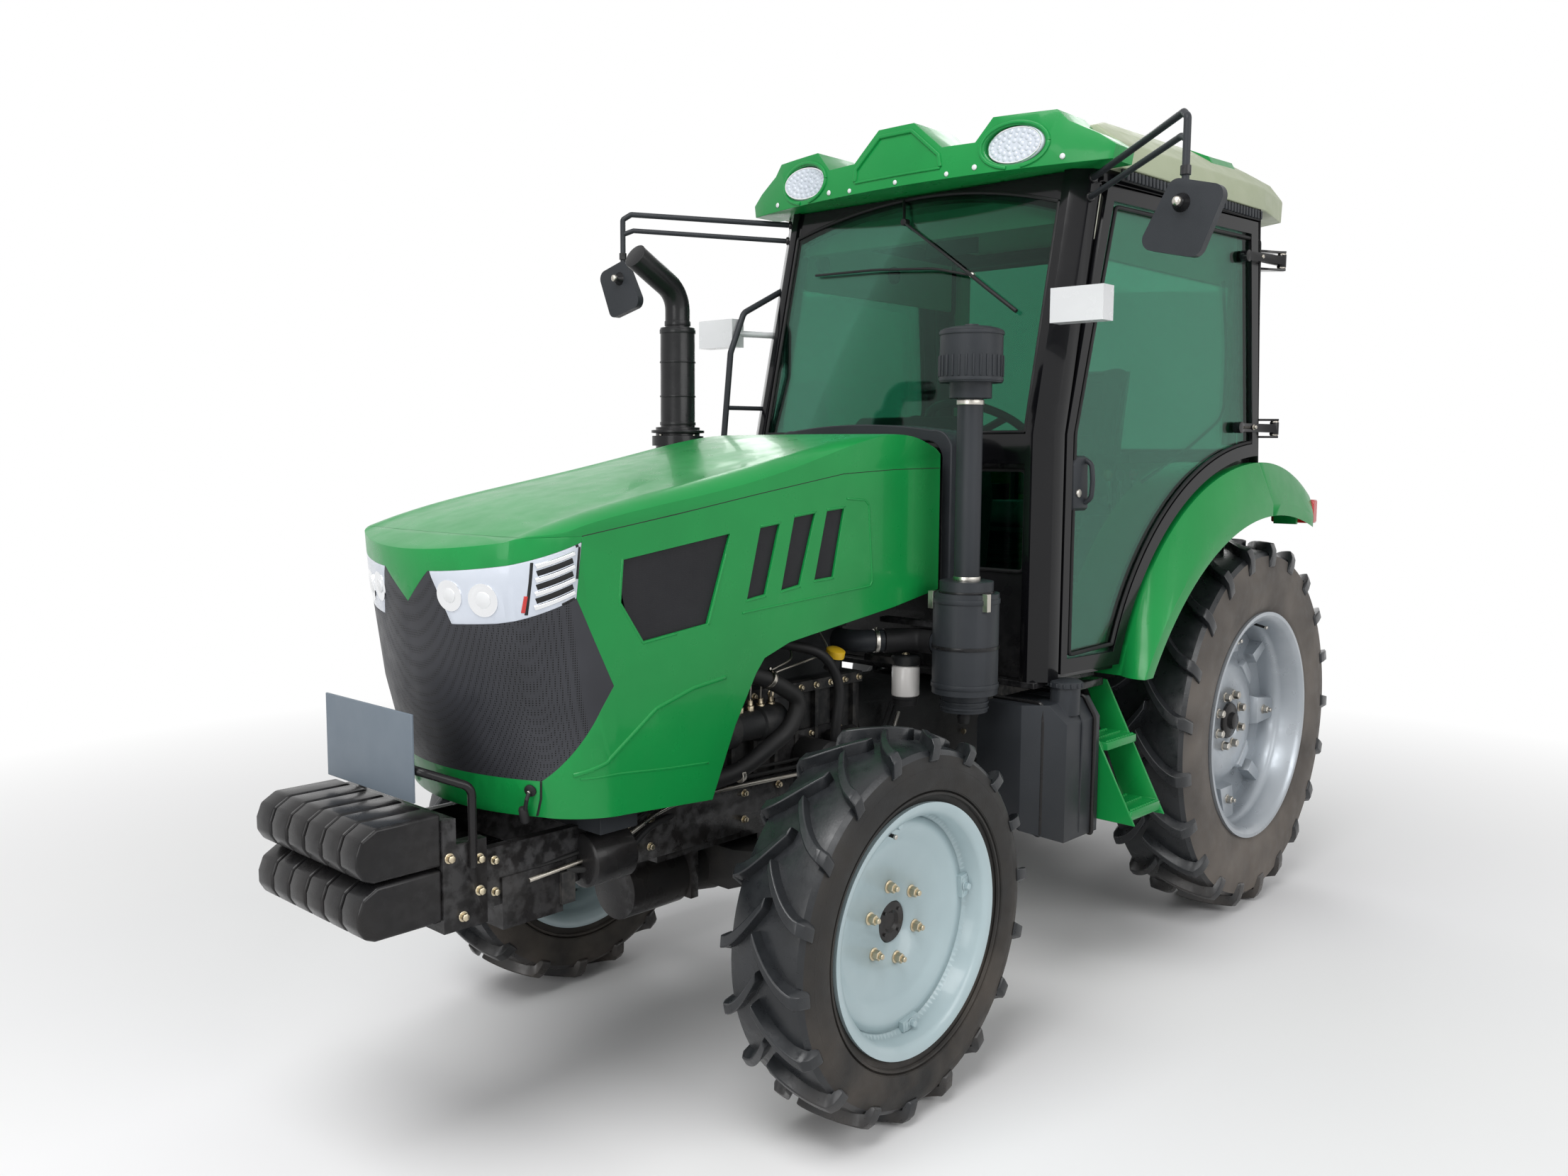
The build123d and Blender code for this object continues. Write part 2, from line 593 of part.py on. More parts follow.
with BuildPart() as cab_frame:
    for out in (1, -1):
        add(post(FRONT_POST, DECK_Z, BELT_Z, 0, out))
        add(post(FRONT_POST, BELT_Z, ROOF_Z, -LEAN, out))
        add(post(REAR_POST, REAR_FOOT_Z, ROOF_Z, REAR_LEAN, out))
        add(plan_plate([(1140, out * 600), (1140, out * 650), (175, out * 739), (175, out * 695)], DOOR_TOP + 6,
                       ROOF_Z))
    add(left_jamb.part)
    add(left_jamb.part.mirror(Plane.XZ))
    with BuildSketch(PANE.offset(-6)):
        with BuildLine():
            Polyline((-556, 700), (-556, 829), (556, 829), (556, 700))
            ThreePointArc((556, 700), (0, 800), (-556, 700))
        make_face()
    extrude(amount=-30)
    add(block(0, 60, -655, 655, 2520, ROOF_Z))
    add(block(1330, 1385, -548, 548, 1690, BELT_Z))
    add(block(-65, -15, -655, 655, 1690, 1734))
    for piece in under_arch:
        add(piece, mode=Mode.SUBTRACT)

with BuildPart() as cab_floor:
    add(block(450, 1012, -430, 430, DECK_Z - 20, DECK_Z))
    add(block(1012, 1385, -600, 600, DECK_Z - 20, DECK_Z))
    add(block(430, 450, -430, 430, DECK_Z - 20, SEAT_DECK_Z))
    add(block(-75, 450, -430, 430, SEAT_DECK_Z - 20, SEAT_DECK_Z))
    for out in (1, -1):
        add(block(STEP_X[0], STEP_X[1], *sorted((out * 400, out * 428)), 960, DECK_Z - 20))
        add(block(STEP_X[0], STEP_X[1], *sorted((out * 400, out * 600)), 960, 985))

# Wall between the cab and the engine, with openings for the two low front panes.
with BuildPart() as front_wall:
    add(block(1330, 1345, -548, 548, DECK_Z, 1690))
    for out in (1, -1):
        add(block(1300, 1400, *sorted((out * 256, out * 530)), 1356, 1670), mode=Mode.SUBTRACT)

# Wall behind the seat, and the upright sheets inside the wheel arches.
with BuildPart() as inner_walls:
    add(block(-75, -60, -430, 430, SEAT_DECK_Z, 1690))
    for out in (1, -1):
        with BuildSketch(side(max(out * 422, out * 430))):
            with BuildLine():
                start = (FENDER_X + sqrt_of(900, DECK_Z - FENDER_Z), DECK_Z)
                finish = (-75, FENDER_Z + sqrt_of(900, FENDER_X + 75))
                ThreePointArc(start, (FENDER_X + 0.7071 * 900, FENDER_Z + 0.7071 * 900), finish)
                Polyline(finish, (-75, SEAT_DECK_Z), (450, SEAT_DECK_Z), (450, DECK_Z), start)
            make_face()
        extrude(amount=8)

with BuildPart() as windscreen:
    with BuildSketch(PANE):
        with BuildLine():
            Polyline((-547, 735), (-547, 2), (547, 2), (547, 735))
            ThreePointArc((547, 735), (0, 822), (-547, 735))
        make_face()
    extrude(amount=-6)

with BuildPart() as front_lights:
    for out in (1, -1):
        add(block(1335, 1341, *sorted((out * 256, out * 530)), 1356, 1670))

with BuildPart() as rear_window:
    add(plate([(-49, 1734), (-43, 1734), (20, 2520), (14, 2520)], -640, 640))

with BuildPart() as headliner:
    add(block(60, 1140, -545, 545, 2570, ROOF_Z))

ROOF_SECTIONS = (
    (ROOF_Z, (1120, 700), (150, 745), (-130, 690), (-190, 560)),
    (2670, (1120, 690), (150, 735), (-150, 685), (-200, 560)),
    (2730, (1120, 610), (150, 670), (-130, 645), (-180, 540)),
    (2780, (950, 540), (200, 590), (-20, 570), (-60, 480)),
)
with BuildPart() as roof:
    for z, *half in ROOF_SECTIONS:
        with BuildSketch(level(z)):
            with BuildLine():
                Polyline(*half, *[(x, -y) for x, y in reversed(half)], close=True)
            make_face()
    loft(ruled=True)

VISOR_TOP = [(740, 2632), (690, 2668), (600, 2715), (565, 2752), (360, 2756), (300, 2688), (180, 2690), (73, 2782)]
LAMP_Y, LAMP_Z = 430.0, 2664.0
with BuildPart() as roof_visor:
    with BuildSketch(cross(1120)):
        with BuildLine():
            Polyline(*VISOR_TOP, *[(-y, z) for y, z in reversed(VISOR_TOP)], (-732, ROOF_Z), (732, ROOF_Z),
                     close=True)
        make_face()
    extrude(amount=260)
    with BuildPart(mode=Mode.PRIVATE) as plan:
        with BuildSketch(level(2500)):
            with BuildLine():
                Polyline((1235, 745), (1120, 745), (1120, -745), (1235, -745))
                ThreePointArc((1235, -745), (1340, 0), (1235, 745))
            make_face()
        extrude(amount=400)
    add(plan.part, mode=Mode.INTERSECT)
    for out in (1, -1):
        with BuildSketch(cross(1230)):
            with Locations((out * LAMP_Y, LAMP_Z)):
                Ellipse(101, 58)
        extrude(amount=200, mode=Mode.SUBTRACT)

with BuildPart() as roof_lamps:
    for out in (1, -1):
        with BuildSketch(cross(1230)):
            with Locations((out * LAMP_Y, LAMP_Z)):
                Ellipse(100, 57)
        extrude(amount=72)

# ---------------------------------------------------------------- doors
def hinge_arm(z):
    """Hinge eye with its arm round the rear pillar to a boss on the glass."""
    edge = 105 + REAR_LEAN * (z - REAR_FOOT_Z) / (ROOF_Z - REAR_FOOT_Z)
    with BuildPart() as piece:
        add(bar((*HINGE, z - 22), (*HINGE, z + 22), 16))
        add(plan_plate([(HINGE[0], HINGE[1] + 15), (HINGE[0], HINGE[1] - 15), (edge + 12, 750), (edge + 24, 732),
                        (285, 720), (285, 737), (edge + 30, 766)], z - 15, z + 15))
        add(bar((*HINGE, z - 30), (*HINGE, z + 30), 8.05), mode=Mode.SUBTRACT)
        with BuildSketch(DOOR_PLANE.offset(-14)):
            with Locations((160, z)):
                Circle(20)
        extrude(amount=26)
    return piece.part


with BuildPart() as left_door:
    extrude(door_outline(0), amount=30)
    extrude(door_outline(45), amount=60, mode=Mode.SUBTRACT)
    add(block(1165, 1261, 598, 620, 1500, 1730))
    for z in HINGE_LEVELS:
        add(hinge_arm(z))
with BuildPart() as right_door:
    mirror(left_door.part, about=Plane.XZ)
with BuildPart() as left_door_glass:
    extrude(door_outline(45.2, 12), amount=6)
with BuildPart() as right_door_glass:
    mirror(left_door_glass.part, about=Plane.XZ)

# ---------------------------------------------------------------- inside the cab
with BuildPart() as seat:
    add(block(180, 640, -230, 230, 1440, 1540))
    add(plate([(180, 1540), (60, 2080), (150, 2090), (280, 1540)], -220, 220))
with BuildPart() as seat_base:
    add(block(250, 560, -170, 170, SEAT_DECK_Z, 1440))
WHEEL_PIVOT = (820, 0, 1800)
COLUMN_TILT = 30.0
COLUMN = (sin(radians(COLUMN_TILT)), cos(radians(COLUMN_TILT)))


def on_column(distance):
    """Point on the steering column's line, measured up from the steering wheel's centre."""
    return (WHEEL_PIVOT[0] - distance * COLUMN[0], 0, WHEEL_PIVOT[2] + distance * COLUMN[1])


with BuildPart() as dashboard:
    add(plate([(1140, DECK_Z), (1320, DECK_Z), (1320, 1780), (1230, 1850), (1090, 1760), (1060, 1560)], -230, 230))
    add(bar(on_column(-30), on_column(-330), 45))
WHEEL_PLANE = Plane(origin=at(*on_column(0)), x_dir=(0, 1, 0), z_dir=(-COLUMN[0], 0, COLUMN[1]))
RING_R = 195.0
with BuildPart() as steering_wheel:
    with BuildSketch(Plane(origin=WHEEL_PLANE.origin, x_dir=WHEEL_PLANE.x_dir, z_dir=WHEEL_PLANE.y_dir)):
        with Locations((RING_R, 0)):
            Circle(15)
    revolve(axis=Axis(WHEEL_PLANE.origin, WHEEL_PLANE.z_dir))
    with BuildSketch(WHEEL_PLANE.offset(-20)):
        Circle(38)
    extrude(amount=32)
    with BuildSketch(WHEEL_PLANE.offset(-8)):
        with PolarLocations(0.52 * RING_R, 3, start_angle=90):
            Rectangle(0.9 * RING_R, 26)
    extrude(amount=12)

# ---------------------------------------------------------------- steps, tank and tool box
with BuildPart() as steps:
    for out in (1, -1):
        add(block(*STEP_X, *sorted((out * 690, out * 815)), 578, 608))
        add(block(*STEP_X, *sorted((out * 610, out * 725)), 788, 814))
        for x in (STEP_X[0] - 8, STEP_X[1]):
            with BuildSketch(cross(x)):
                with BuildLine():
                    Polyline((out * 526, 980), (out * 610, 980), (out * 830, 565), (out * 690, 565), close=True)
                make_face()
            extrude(amount=8)

TANK_SECTION = [(440, 620), (540, 594), (700, 530), (700, 900), (660, 960), (470, 960), (440, 900)]
with BuildPart() as fuel_tank:
    with BuildSketch(cross(1150)):
        with BuildLine():
            Polyline(*TANK_SECTION, close=True)
        make_face()
    extrude(amount=300)
    with BuildPart(mode=Mode.PRIVATE) as plan:
        add(plan_plate([(1150, 440), (1450, 440), (1450, 600), (1352, 700), (1150, 700)], 500, 1000))
    add(plan.part, mode=Mode.INTERSECT)
    add(bar((1290, 655, 920), (1290, 655, 1012), 46))

with BuildPart() as tool_box:
    add(block(1160, 1480, -690, -440, 520, 900))

# ---------------------------------------------------------------- intake and exhaust
CLEANER = (1610, 500)
STACK = ((955, 1010, 70), (1010, 1310, 98), (1310, 1345, 80), (1345, 1880, 38), (1880, 1925, 62),
         (1925, 2075, 92))
with BuildPart() as air_cleaner:
    for low, high, radius in STACK:
        add(bar((*CLEANER, low), (*CLEANER, high), radius))
    add(tube_along([(CLEANER[0], 470, 1150), (CLEANER[0], 320, 1150), (1770, 210, 1150), (1770, 135, 1150)], 34, 60))

PIPE = (1885, -460)
with BuildPart() as muffler:
    for low, high, radius in ((1180, 1690, 38), (1690, 1740, 72), (1740, 1772, 84), (1772, 1800, 72), (1800, 2120, 56)):
        add(bar((*PIPE, low), (*PIPE, high), radius))
    add(bar((PIPE[0], -460, 1180), (PIPE[0], -135, 1180), 34))
    add(tube_along([(*PIPE, 2110), (*PIPE, 2230), (PIPE[0] + 180, PIPE[1], 2330)], 40, 90))

# ---------------------------------------------------------------- mirrors and lamps
MIRROR_FACE = [(1090, 2434), (1240, 2394), (1167, 2221), (995, 2262)]
with BuildPart() as mirrors:
    for out in (1, -1):
        add(tube_along([(1150, out * 612, 2560), (1535, out * 1095, 2604), (1557, out * 1117, 2585),
                        (1557, out * 1117, 2370)], 10, 12))
        add(tube_along([(1165, out * 612, 2500), (1530, out * 1088, 2545), (1557, out * 1117, 2530),
                        (1557, out * 1117, 2380)], 9, 10))
        with BuildSketch(cross(1550)):
            with BuildLine():
                Polyline(*[(out * y, z) for y, z in MIRROR_FACE], close=True)
            make_face()
            fillet(vertices(), 30)
        extrude(amount=26)
    add(tube_along([(1185, -605, 2335), (1395, -640, 2222), (1462, -640, 2076), (1498, -640, 1748),
                    (1345, -600, 1640)], 11, 40))
    add(bar((1483, -640, 1880), (1335, -590, 1880), 8))
    add(cab_frame.part, mode=Mode.SUBTRACT)

with BuildPart() as signal_lamps:
    for out in (1, -1):
        add(block(1380, 1440, *sorted((out * 655, out * 827)), 2100, 2200))
        add(bar((1400, out * 665, 2150), (1250, out * 612, 2150), 12))
    add(cab_frame.part, mode=Mode.SUBTRACT)

with BuildPart() as rear_lamps:
    for out in (1, -1):
        add(block(-447, -402, *sorted((out * 590, out * 760)), 1455, 1549))

# ---------------------------------------------------------------- three-point hitch, drawbar and power take-off
HITCH_Y = 310.0
LOWER_PIN = (-100, 460)
LIFT_PIN = (-100, 1040)
LIFT_ARM = 300.0
DROOP = 4.2                 # the parked lower links slope down to the rear by this angle
BALL_X, BALL_Y = -REAR_REACH + 35, 412.5
BALL_Z = LOWER_PIN[1] - (LOWER_PIN[0] - BALL_X) * sin(radians(DROOP)) / cos(radians(DROOP))
BALL_BORE = 14.35

with BuildPart() as lower_links:
    for out in (1, -1):
        add(bar((LOWER_PIN[0], out * (HITCH_Y - 20), LOWER_PIN[1]), (LOWER_PIN[0], out * (HITCH_Y + 20), LOWER_PIN[1]), 36))
        add(bar((BALL_X, out * (BALL_Y - 22.5), BALL_Z), (BALL_X, out * (BALL_Y + 22.5), BALL_Z), 35))
        with BuildSketch(side(out * HITCH_Y + 15)):
            with BuildLine():
                Polyline((LOWER_PIN[0], LOWER_PIN[1] - 28), (LOWER_PIN[0], LOWER_PIN[1] + 28),
                         (-470, LOWER_PIN[1] + 5), (-470, LOWER_PIN[1] - 52), close=True)
            make_face()
        extrude(amount=30)
        add(post([(-455, out * 297), (-455, out * 325), (BALL_X + 10, out * 425), (BALL_X + 10, out * 400)],
                 BALL_Z - 18, BALL_Z + 32, 0, 1))
        add(bar((BALL_X, out * (BALL_Y - 30), BALL_Z), (BALL_X, out * (BALL_Y + 30), BALL_Z), BALL_BORE),
            mode=Mode.SUBTRACT)
        add(bar((LOWER_PIN[0], out * (HITCH_Y - 30), LOWER_PIN[1]), (LOWER_PIN[0], out * (HITCH_Y + 30), LOWER_PIN[1]), 15.05),
            mode=Mode.SUBTRACT)

TIP = (LIFT_PIN[0] - LIFT_ARM * cos(radians(DROOP)), LIFT_PIN[1] - LIFT_ARM * sin(radians(DROOP)))
EYE = (TIP[0], TIP[1] - (LIFT_PIN[1] - LOWER_PIN[1]))
with BuildPart() as lift_arms:
    add(bar((LIFT_PIN[0], -HITCH_Y - 15, LIFT_PIN[1]), (LIFT_PIN[0], HITCH_Y + 15, LIFT_PIN[1]), 28))
    for out in (1, -1):
        with BuildSketch(side(out * HITCH_Y + 15)):
            with BuildLine():
                Polyline((LIFT_PIN[0] + 30, LIFT_PIN[1] - 45), (LIFT_PIN[0] + 30, LIFT_PIN[1] + 45),
                         (TIP[0] - 25, TIP[1] + 28), (TIP[0] - 25, TIP[1] - 28), close=True)
            make_face()
        extrude(amount=30)
    for out in (1, -1):
        add(bar((TIP[0], out * (HITCH_Y - 30), TIP[1]), (TIP[0], out * (HITCH_Y + 30), TIP[1]), 12.05),
            mode=Mode.SUBTRACT)

with BuildPart() as lift_rods:
    for out in (1, -1):
        for y in (HITCH_Y - 28, HITCH_Y + 20):
            low, high = sorted((out * y, out * (y + 8)))
            add(block(TIP[0] - 20, TIP[0] + 20, low, high, TIP[1] - 70, TIP[1] + 24))
            add(block(EYE[0] - 20, EYE[0] + 20, low, high, EYE[1] - 24, EYE[1] + 80))
        low, high = sorted((out * (HITCH_Y - 28), out * (HITCH_Y + 28)))
        add(block(TIP[0] - 20, TIP[0] + 20, low, high, TIP[1] - 90, TIP[1] - 60))
        add(block(EYE[0] - 20, EYE[0] + 20, low, high, EYE[1] + 60, EYE[1] + 90))
        add(bar((TIP[0], out * HITCH_Y, TIP[1] - 80), (EYE[0], out * HITCH_Y, EYE[1] + 80), 17))
        add(bar((TIP[0], out * (HITCH_Y - 28), TIP[1]), (TIP[0], out * (HITCH_Y + 28), TIP[1]), 12))

DRAWBAR_Z = 380.0
with BuildPart() as hitch_frame:
    for out in (1, -1):
        low, high = sorted((out * 215, out * (HITCH_Y - 22)))
        add(bar((LOWER_PIN[0], out * 215, LOWER_PIN[1]), (LOWER_PIN[0], out * (HITCH_Y - 22), LOWER_PIN[1]), 45))
        add(bar((LOWER_PIN[0], out * 215, LOWER_PIN[1]), (LOWER_PIN[0], out * (HITCH_Y + 20), LOWER_PIN[1]), 15))
    add(block(-140, -60, -215, 215, 415, 500))
    add(block(-720, 200, -40, 40, DRAWBAR_Z - 15, DRAWBAR_Z + 15))
    add(block(-140, -60, -60, 60, DRAWBAR_Z + 15, 415))
    with BuildSketch(level(DRAWBAR_Z - 20)):
        with Locations((-670, 0)):
            Circle(16.5)
    extrude(amount=40, mode=Mode.SUBTRACT)
    add(bar((-290, 0, 620), (-390, 0, 620), 17.5))
    add(block(-420, -290, -90, 90, 700, 712))
    for out in (1, -1):
        add(bar((-40, out * 200, 1115), (-40, out * 200, SEAT_DECK_Z - 20), 34))
    for out in (1, -1):
        add(block(-370, -290, *sorted((out * 26, out * 44)), 780, 940))
    add(bar((-340, -60, 890), (-340, 60, 890), 12.9), mode=Mode.SUBTRACT)
    with BuildSketch(side(HITCH_Y - 20)):
        with BuildLine():
            Polyline((-250, 960), (-250, 1060), (-180, 1120), (40, 1120), (200, 1040), (200, 960), close=True)
        make_face()
    extrude(amount=2 * HITCH_Y - 40)
    add(bar((LIFT_PIN[0], -HITCH_Y, LIFT_PIN[1]), (LIFT_PIN[0], HITCH_Y, LIFT_PIN[1]), 28.05), mode=Mode.SUBTRACT)

# ---------------------------------------------------------------- write the parts
pieces = {
    "front_axle": front_axle,
    "left_knuckle": knuckles["left"],
    "right_knuckle": knuckles["right"],
    "steering_rod": steering_rod,
    "front_frame": front_frame,
    "engine": engine,
    "radiator": radiator,
    "gearbox": gearbox,
    "rear_axle": rear_axle,
    "front_weights": front_weights,
    "number_plate": number_plate,
    "bonnet_top": bonnet_top,
    "left_side_panel": panels["left"],
    "right_side_panel": panels["right"],
    "bonnet_mesh": bonnet_mesh,
    "headlamps": headlamps,
    "grille": grille,
    "nose": nose,
    "left_fender": left_fender,
    "right_fender": right_fender,
    "cowl": cowl,
    "cab_frame": cab_frame,
    "cab_floor": cab_floor,
    "front_wall": front_wall,
    "inner_walls": inner_walls,
    "windscreen": windscreen,
    "front_lights": front_lights,
    "rear_window": rear_window,
    "headliner": headliner,
    "roof": roof,
    "roof_visor": roof_visor,
    "roof_lamps": roof_lamps,
    "left_door": left_door,
    "right_door": right_door,
    "left_door_glass": left_door_glass,
    "right_door_glass": right_door_glass,
    "seat": seat,
    "seat_base": seat_base,
    "dashboard": dashboard,
    "steering_wheel": steering_wheel,
    "steps": steps,
    "fuel_tank": fuel_tank,
    "tool_box": tool_box,
    "air_cleaner": air_cleaner,
    "muffler": muffler,
    "mirrors": mirrors,
    "signal_lamps": signal_lamps,
    "rear_lamps": rear_lamps,
    "lower_links": lower_links,
    "lift_arms": lift_arms,
    "lift_rods": lift_rods,
    "hitch_frame": hitch_frame,
    **tyres,
    **rims,
}
for name, piece in pieces.items():
    piece.part.label = name
    export_step(piece.part, f"parts/{name}.step")
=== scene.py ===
import bmesh
import bpy
import json
from math import cos, exp, hypot, pi, radians, sin
from mathutils import Euler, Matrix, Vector
from mathutils.bvhtree import BVHTree


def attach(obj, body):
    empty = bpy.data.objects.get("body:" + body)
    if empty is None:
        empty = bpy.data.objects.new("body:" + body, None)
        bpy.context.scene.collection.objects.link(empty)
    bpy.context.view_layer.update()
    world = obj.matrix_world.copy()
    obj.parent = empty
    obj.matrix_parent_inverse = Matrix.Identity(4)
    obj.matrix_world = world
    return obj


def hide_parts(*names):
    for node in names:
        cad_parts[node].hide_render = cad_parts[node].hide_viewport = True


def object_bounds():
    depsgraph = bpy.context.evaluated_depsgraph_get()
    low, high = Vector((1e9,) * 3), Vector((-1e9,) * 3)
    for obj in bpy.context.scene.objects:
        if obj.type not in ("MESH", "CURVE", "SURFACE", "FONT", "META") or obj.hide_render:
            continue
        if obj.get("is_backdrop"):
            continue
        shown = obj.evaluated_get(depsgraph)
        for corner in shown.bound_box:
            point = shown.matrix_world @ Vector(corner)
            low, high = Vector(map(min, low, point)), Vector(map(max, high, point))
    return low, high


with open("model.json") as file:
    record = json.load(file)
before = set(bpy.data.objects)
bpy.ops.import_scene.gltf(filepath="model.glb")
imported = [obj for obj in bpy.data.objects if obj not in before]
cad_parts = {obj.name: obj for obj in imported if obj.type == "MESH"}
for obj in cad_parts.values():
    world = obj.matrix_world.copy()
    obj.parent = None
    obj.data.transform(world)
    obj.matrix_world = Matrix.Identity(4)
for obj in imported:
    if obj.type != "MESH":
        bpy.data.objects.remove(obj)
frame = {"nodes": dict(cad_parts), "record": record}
cad_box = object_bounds()
BODY_OF = {node: body for body, nodes in frame["record"]["behaviour"]["bodies"].items() for node in nodes}

# Places are in millimetres: x forward from the rear axle, y to the left, z up from the ground.
FRAME_X = 1245
REAR_AXLE_Z = 703
LAMP_Y, LAMP_Z = 430, 2664
CLEANER_X, CLEANER_Y = 1610, 500
PIPE_X, PIPE_Y = 1885, -460
CAP_X, CAP_Y = 1290, 655
PLUS_X, MINUS_X, UP = (1, 0, 0), (-1, 0, 0), (0, 0, 1)
SIDES = (("left", 1), ("right", -1))


def P(x, y, z):
    """Point in the part's frame."""
    return Vector(((x - FRAME_X) / 1000, y / 1000, z / 1000))


def around(count, radius, start=0.0):
    """Pairs on a circle, in the unit of the radius; the start is in degrees."""
    turns = [radians(start) + 2 * pi * k / count for k in range(count)]
    return [(radius * cos(a), radius * sin(a)) for a in turns]


def link(name, data):
    obj = bpy.data.objects.new(name, data)
    bpy.context.scene.collection.objects.link(obj)
    return obj


# ---------------- camera
camera = link("camera", bpy.data.cameras.new("camera"))
camera.location = (3.519, 2.668, 1.711)
look = Vector((-0.732, -0.674, -0.1028)).normalized()
camera.rotation_mode = "QUATERNION"
camera.rotation_quaternion = look.to_track_quat("-Z", "Y") @ Euler((0, 0, radians(0.35))).to_quaternion()
camera.data.lens = 29.47
camera.data.sensor_width = 36
camera.data.clip_end = 100
bpy.context.scene.camera = camera


# ---------------- materials
class Nodes:
    """Short-hand for building the node tree of a new material, or of a world."""

    def __init__(self, name, world=None):
        self.owner = world or bpy.data.materials.new(name)
        self.owner.use_nodes = True
        self.tree = self.owner.node_tree
        self.tree.nodes.clear()
        self.out = self.tree.nodes.new("ShaderNodeOutputWorld" if world else "ShaderNodeOutputMaterial")
        self.place = None if world else self.tree.nodes.new("ShaderNodeTexCoord").outputs["Object"]

    def put(self, socket, value):
        if isinstance(value, bpy.types.NodeSocket):
            self.tree.links.new(value, socket)
        elif isinstance(value, tuple) and len(value) == 3 and socket.type == "RGBA":
            socket.default_value = (*value, 1)
        else:
            socket.default_value = value

    def new(self, kind, **inputs):
        node = self.tree.nodes.new(kind)
        for key, value in inputs.items():
            self.put(node.inputs[key.replace("_", " ")], value)
        return node

    def noise(self, scale, detail=3.0):
        return self.new("ShaderNodeTexNoise", Vector=self.place, Scale=scale, Detail=detail).outputs["Fac"]

    def span(self, value, low, high, to_low=0.0, to_high=1.0):
        node = self.new("ShaderNodeMapRange", Value=value, From_Min=low, From_Max=high, To_Min=to_low, To_Max=to_high)
        node.clamp = True
        return node.outputs["Result"]

    def patches(self, scale, detail, low=0.3, high=0.7, *ends):
        return self.span(self.noise(scale, detail), low, high, *ends)

    def blend(self, share, first, second):
        node = self.tree.nodes.new("ShaderNodeMix")
        node.data_type = "RGBA"
        for socket, value in ((node.inputs["Factor"], share), (node.inputs[6], first), (node.inputs[7], second)):
            self.put(socket, value)
        return node.outputs[2]

    def maths(self, operation, first, second):
        node = self.tree.nodes.new("ShaderNodeMath")
        node.operation = operation
        self.put(node.inputs[0], first)
        self.put(node.inputs[1], second)
        return node.outputs[0]

    def mix(self, share, first, second):
        node = self.tree.nodes.new("ShaderNodeMixShader")
        for socket, value in zip(node.inputs, (share, first.outputs[0], second.outputs[0])):
            self.put(socket, value)
        return node

    def close(self, shader):
        self.put(self.out.inputs["Surface"], shader.outputs[0])
        return self.owner


def finish(name, colour, second, rough=(0.3, 0.45), metal=0.0, coat=0.0, grain=(220, 0.08), patches=4.0,
           dust=None, wear=None, specular=0.5):
    """Principled material: the colour drifts in soft patches, with grain, dust low down and worn edges."""
    n = Nodes(name)
    base = n.blend(n.patches(patches, 5.0, 0.35), colour, second)
    if wear:
        edges = n.span(n.new("ShaderNodeNewGeometry").outputs["Pointiness"], 0.53, 0.62)
        edges = n.maths("MULTIPLY", edges, n.patches(35, 4.0, 0.42, 0.6))
        base = n.blend(edges, base, wear)
    if dust:
        top, most = dust
        height = n.new("ShaderNodeSeparateXYZ", Vector=n.place).outputs["Z"]
        share = n.maths("MULTIPLY", n.span(height, top, 0.0, 0.0, most), n.patches(7, 6.0))
        base = n.blend(share, base, DUST)
    bump = n.new("ShaderNodeBump", Strength=grain[1], Distance=0.002, Height=n.noise(grain[0], 2.0))
    shader = n.new("ShaderNodeBsdfPrincipled", Base_Color=base, Metallic=metal, Coat_Weight=coat,
                   Roughness=n.patches(patches * 4, 4.0, 0.3, 0.7, *rough), Normal=bump.outputs["Normal"])
    shader.inputs["Specular IOR Level"].default_value = specular
    shader.inputs["Coat Roughness"].default_value = 0.06
    return n.close(shader)


def dotted(name, colour, hole, pitch, share, rough):
    """Perforated sheet: rows of small dark holes with their edges pressed in."""
    n = Nodes(name)
    cells = n.new("ShaderNodeTexVoronoi", Scale=1000 / pitch, Randomness=0.0, Vector=n.place).outputs["Distance"]
    inside = n.span(cells, share - 0.06, share + 0.06)
    sheet = n.blend(n.patches(5, 4.0), colour, tuple(c * 1.4 for c in colour))
    bump = n.new("ShaderNodeBump", Strength=0.5, Distance=0.001, Height=inside)
    shader = n.new("ShaderNodeBsdfPrincipled", Base_Color=n.blend(inside, hole, sheet),
                   Roughness=n.patches(20, 3.0, 0.3, 0.7, rough, rough + 0.15), Normal=bump.outputs["Normal"])
    shader.inputs["Specular IOR Level"].default_value = 0.2
    return n.close(shader)


def pane(name, tint):
    """Thin tinted glass: straight through with a tint, and a mirror image by the angle of view."""
    n = Nodes(name)
    colour = n.blend(n.patches(2.0, 3.0), tint, tuple(c * 0.97 for c in tint))
    through = n.new("ShaderNodeBsdfTransparent", Color=colour)
    gloss = n.new("ShaderNodeBsdfPrincipled", Base_Color=(1, 1, 1), Metallic=1.0,
                  Roughness=n.patches(3.0, 3.0, 0.3, 0.7, 0.0, 0.03))
    fresnel = n.new("ShaderNodeFresnel", IOR=1.45).outputs[0]
    return n.close(n.mix(n.maths("MULTIPLY", fresnel, 0.5), through, gloss))


DUST = (0.23, 0.19, 0.155)
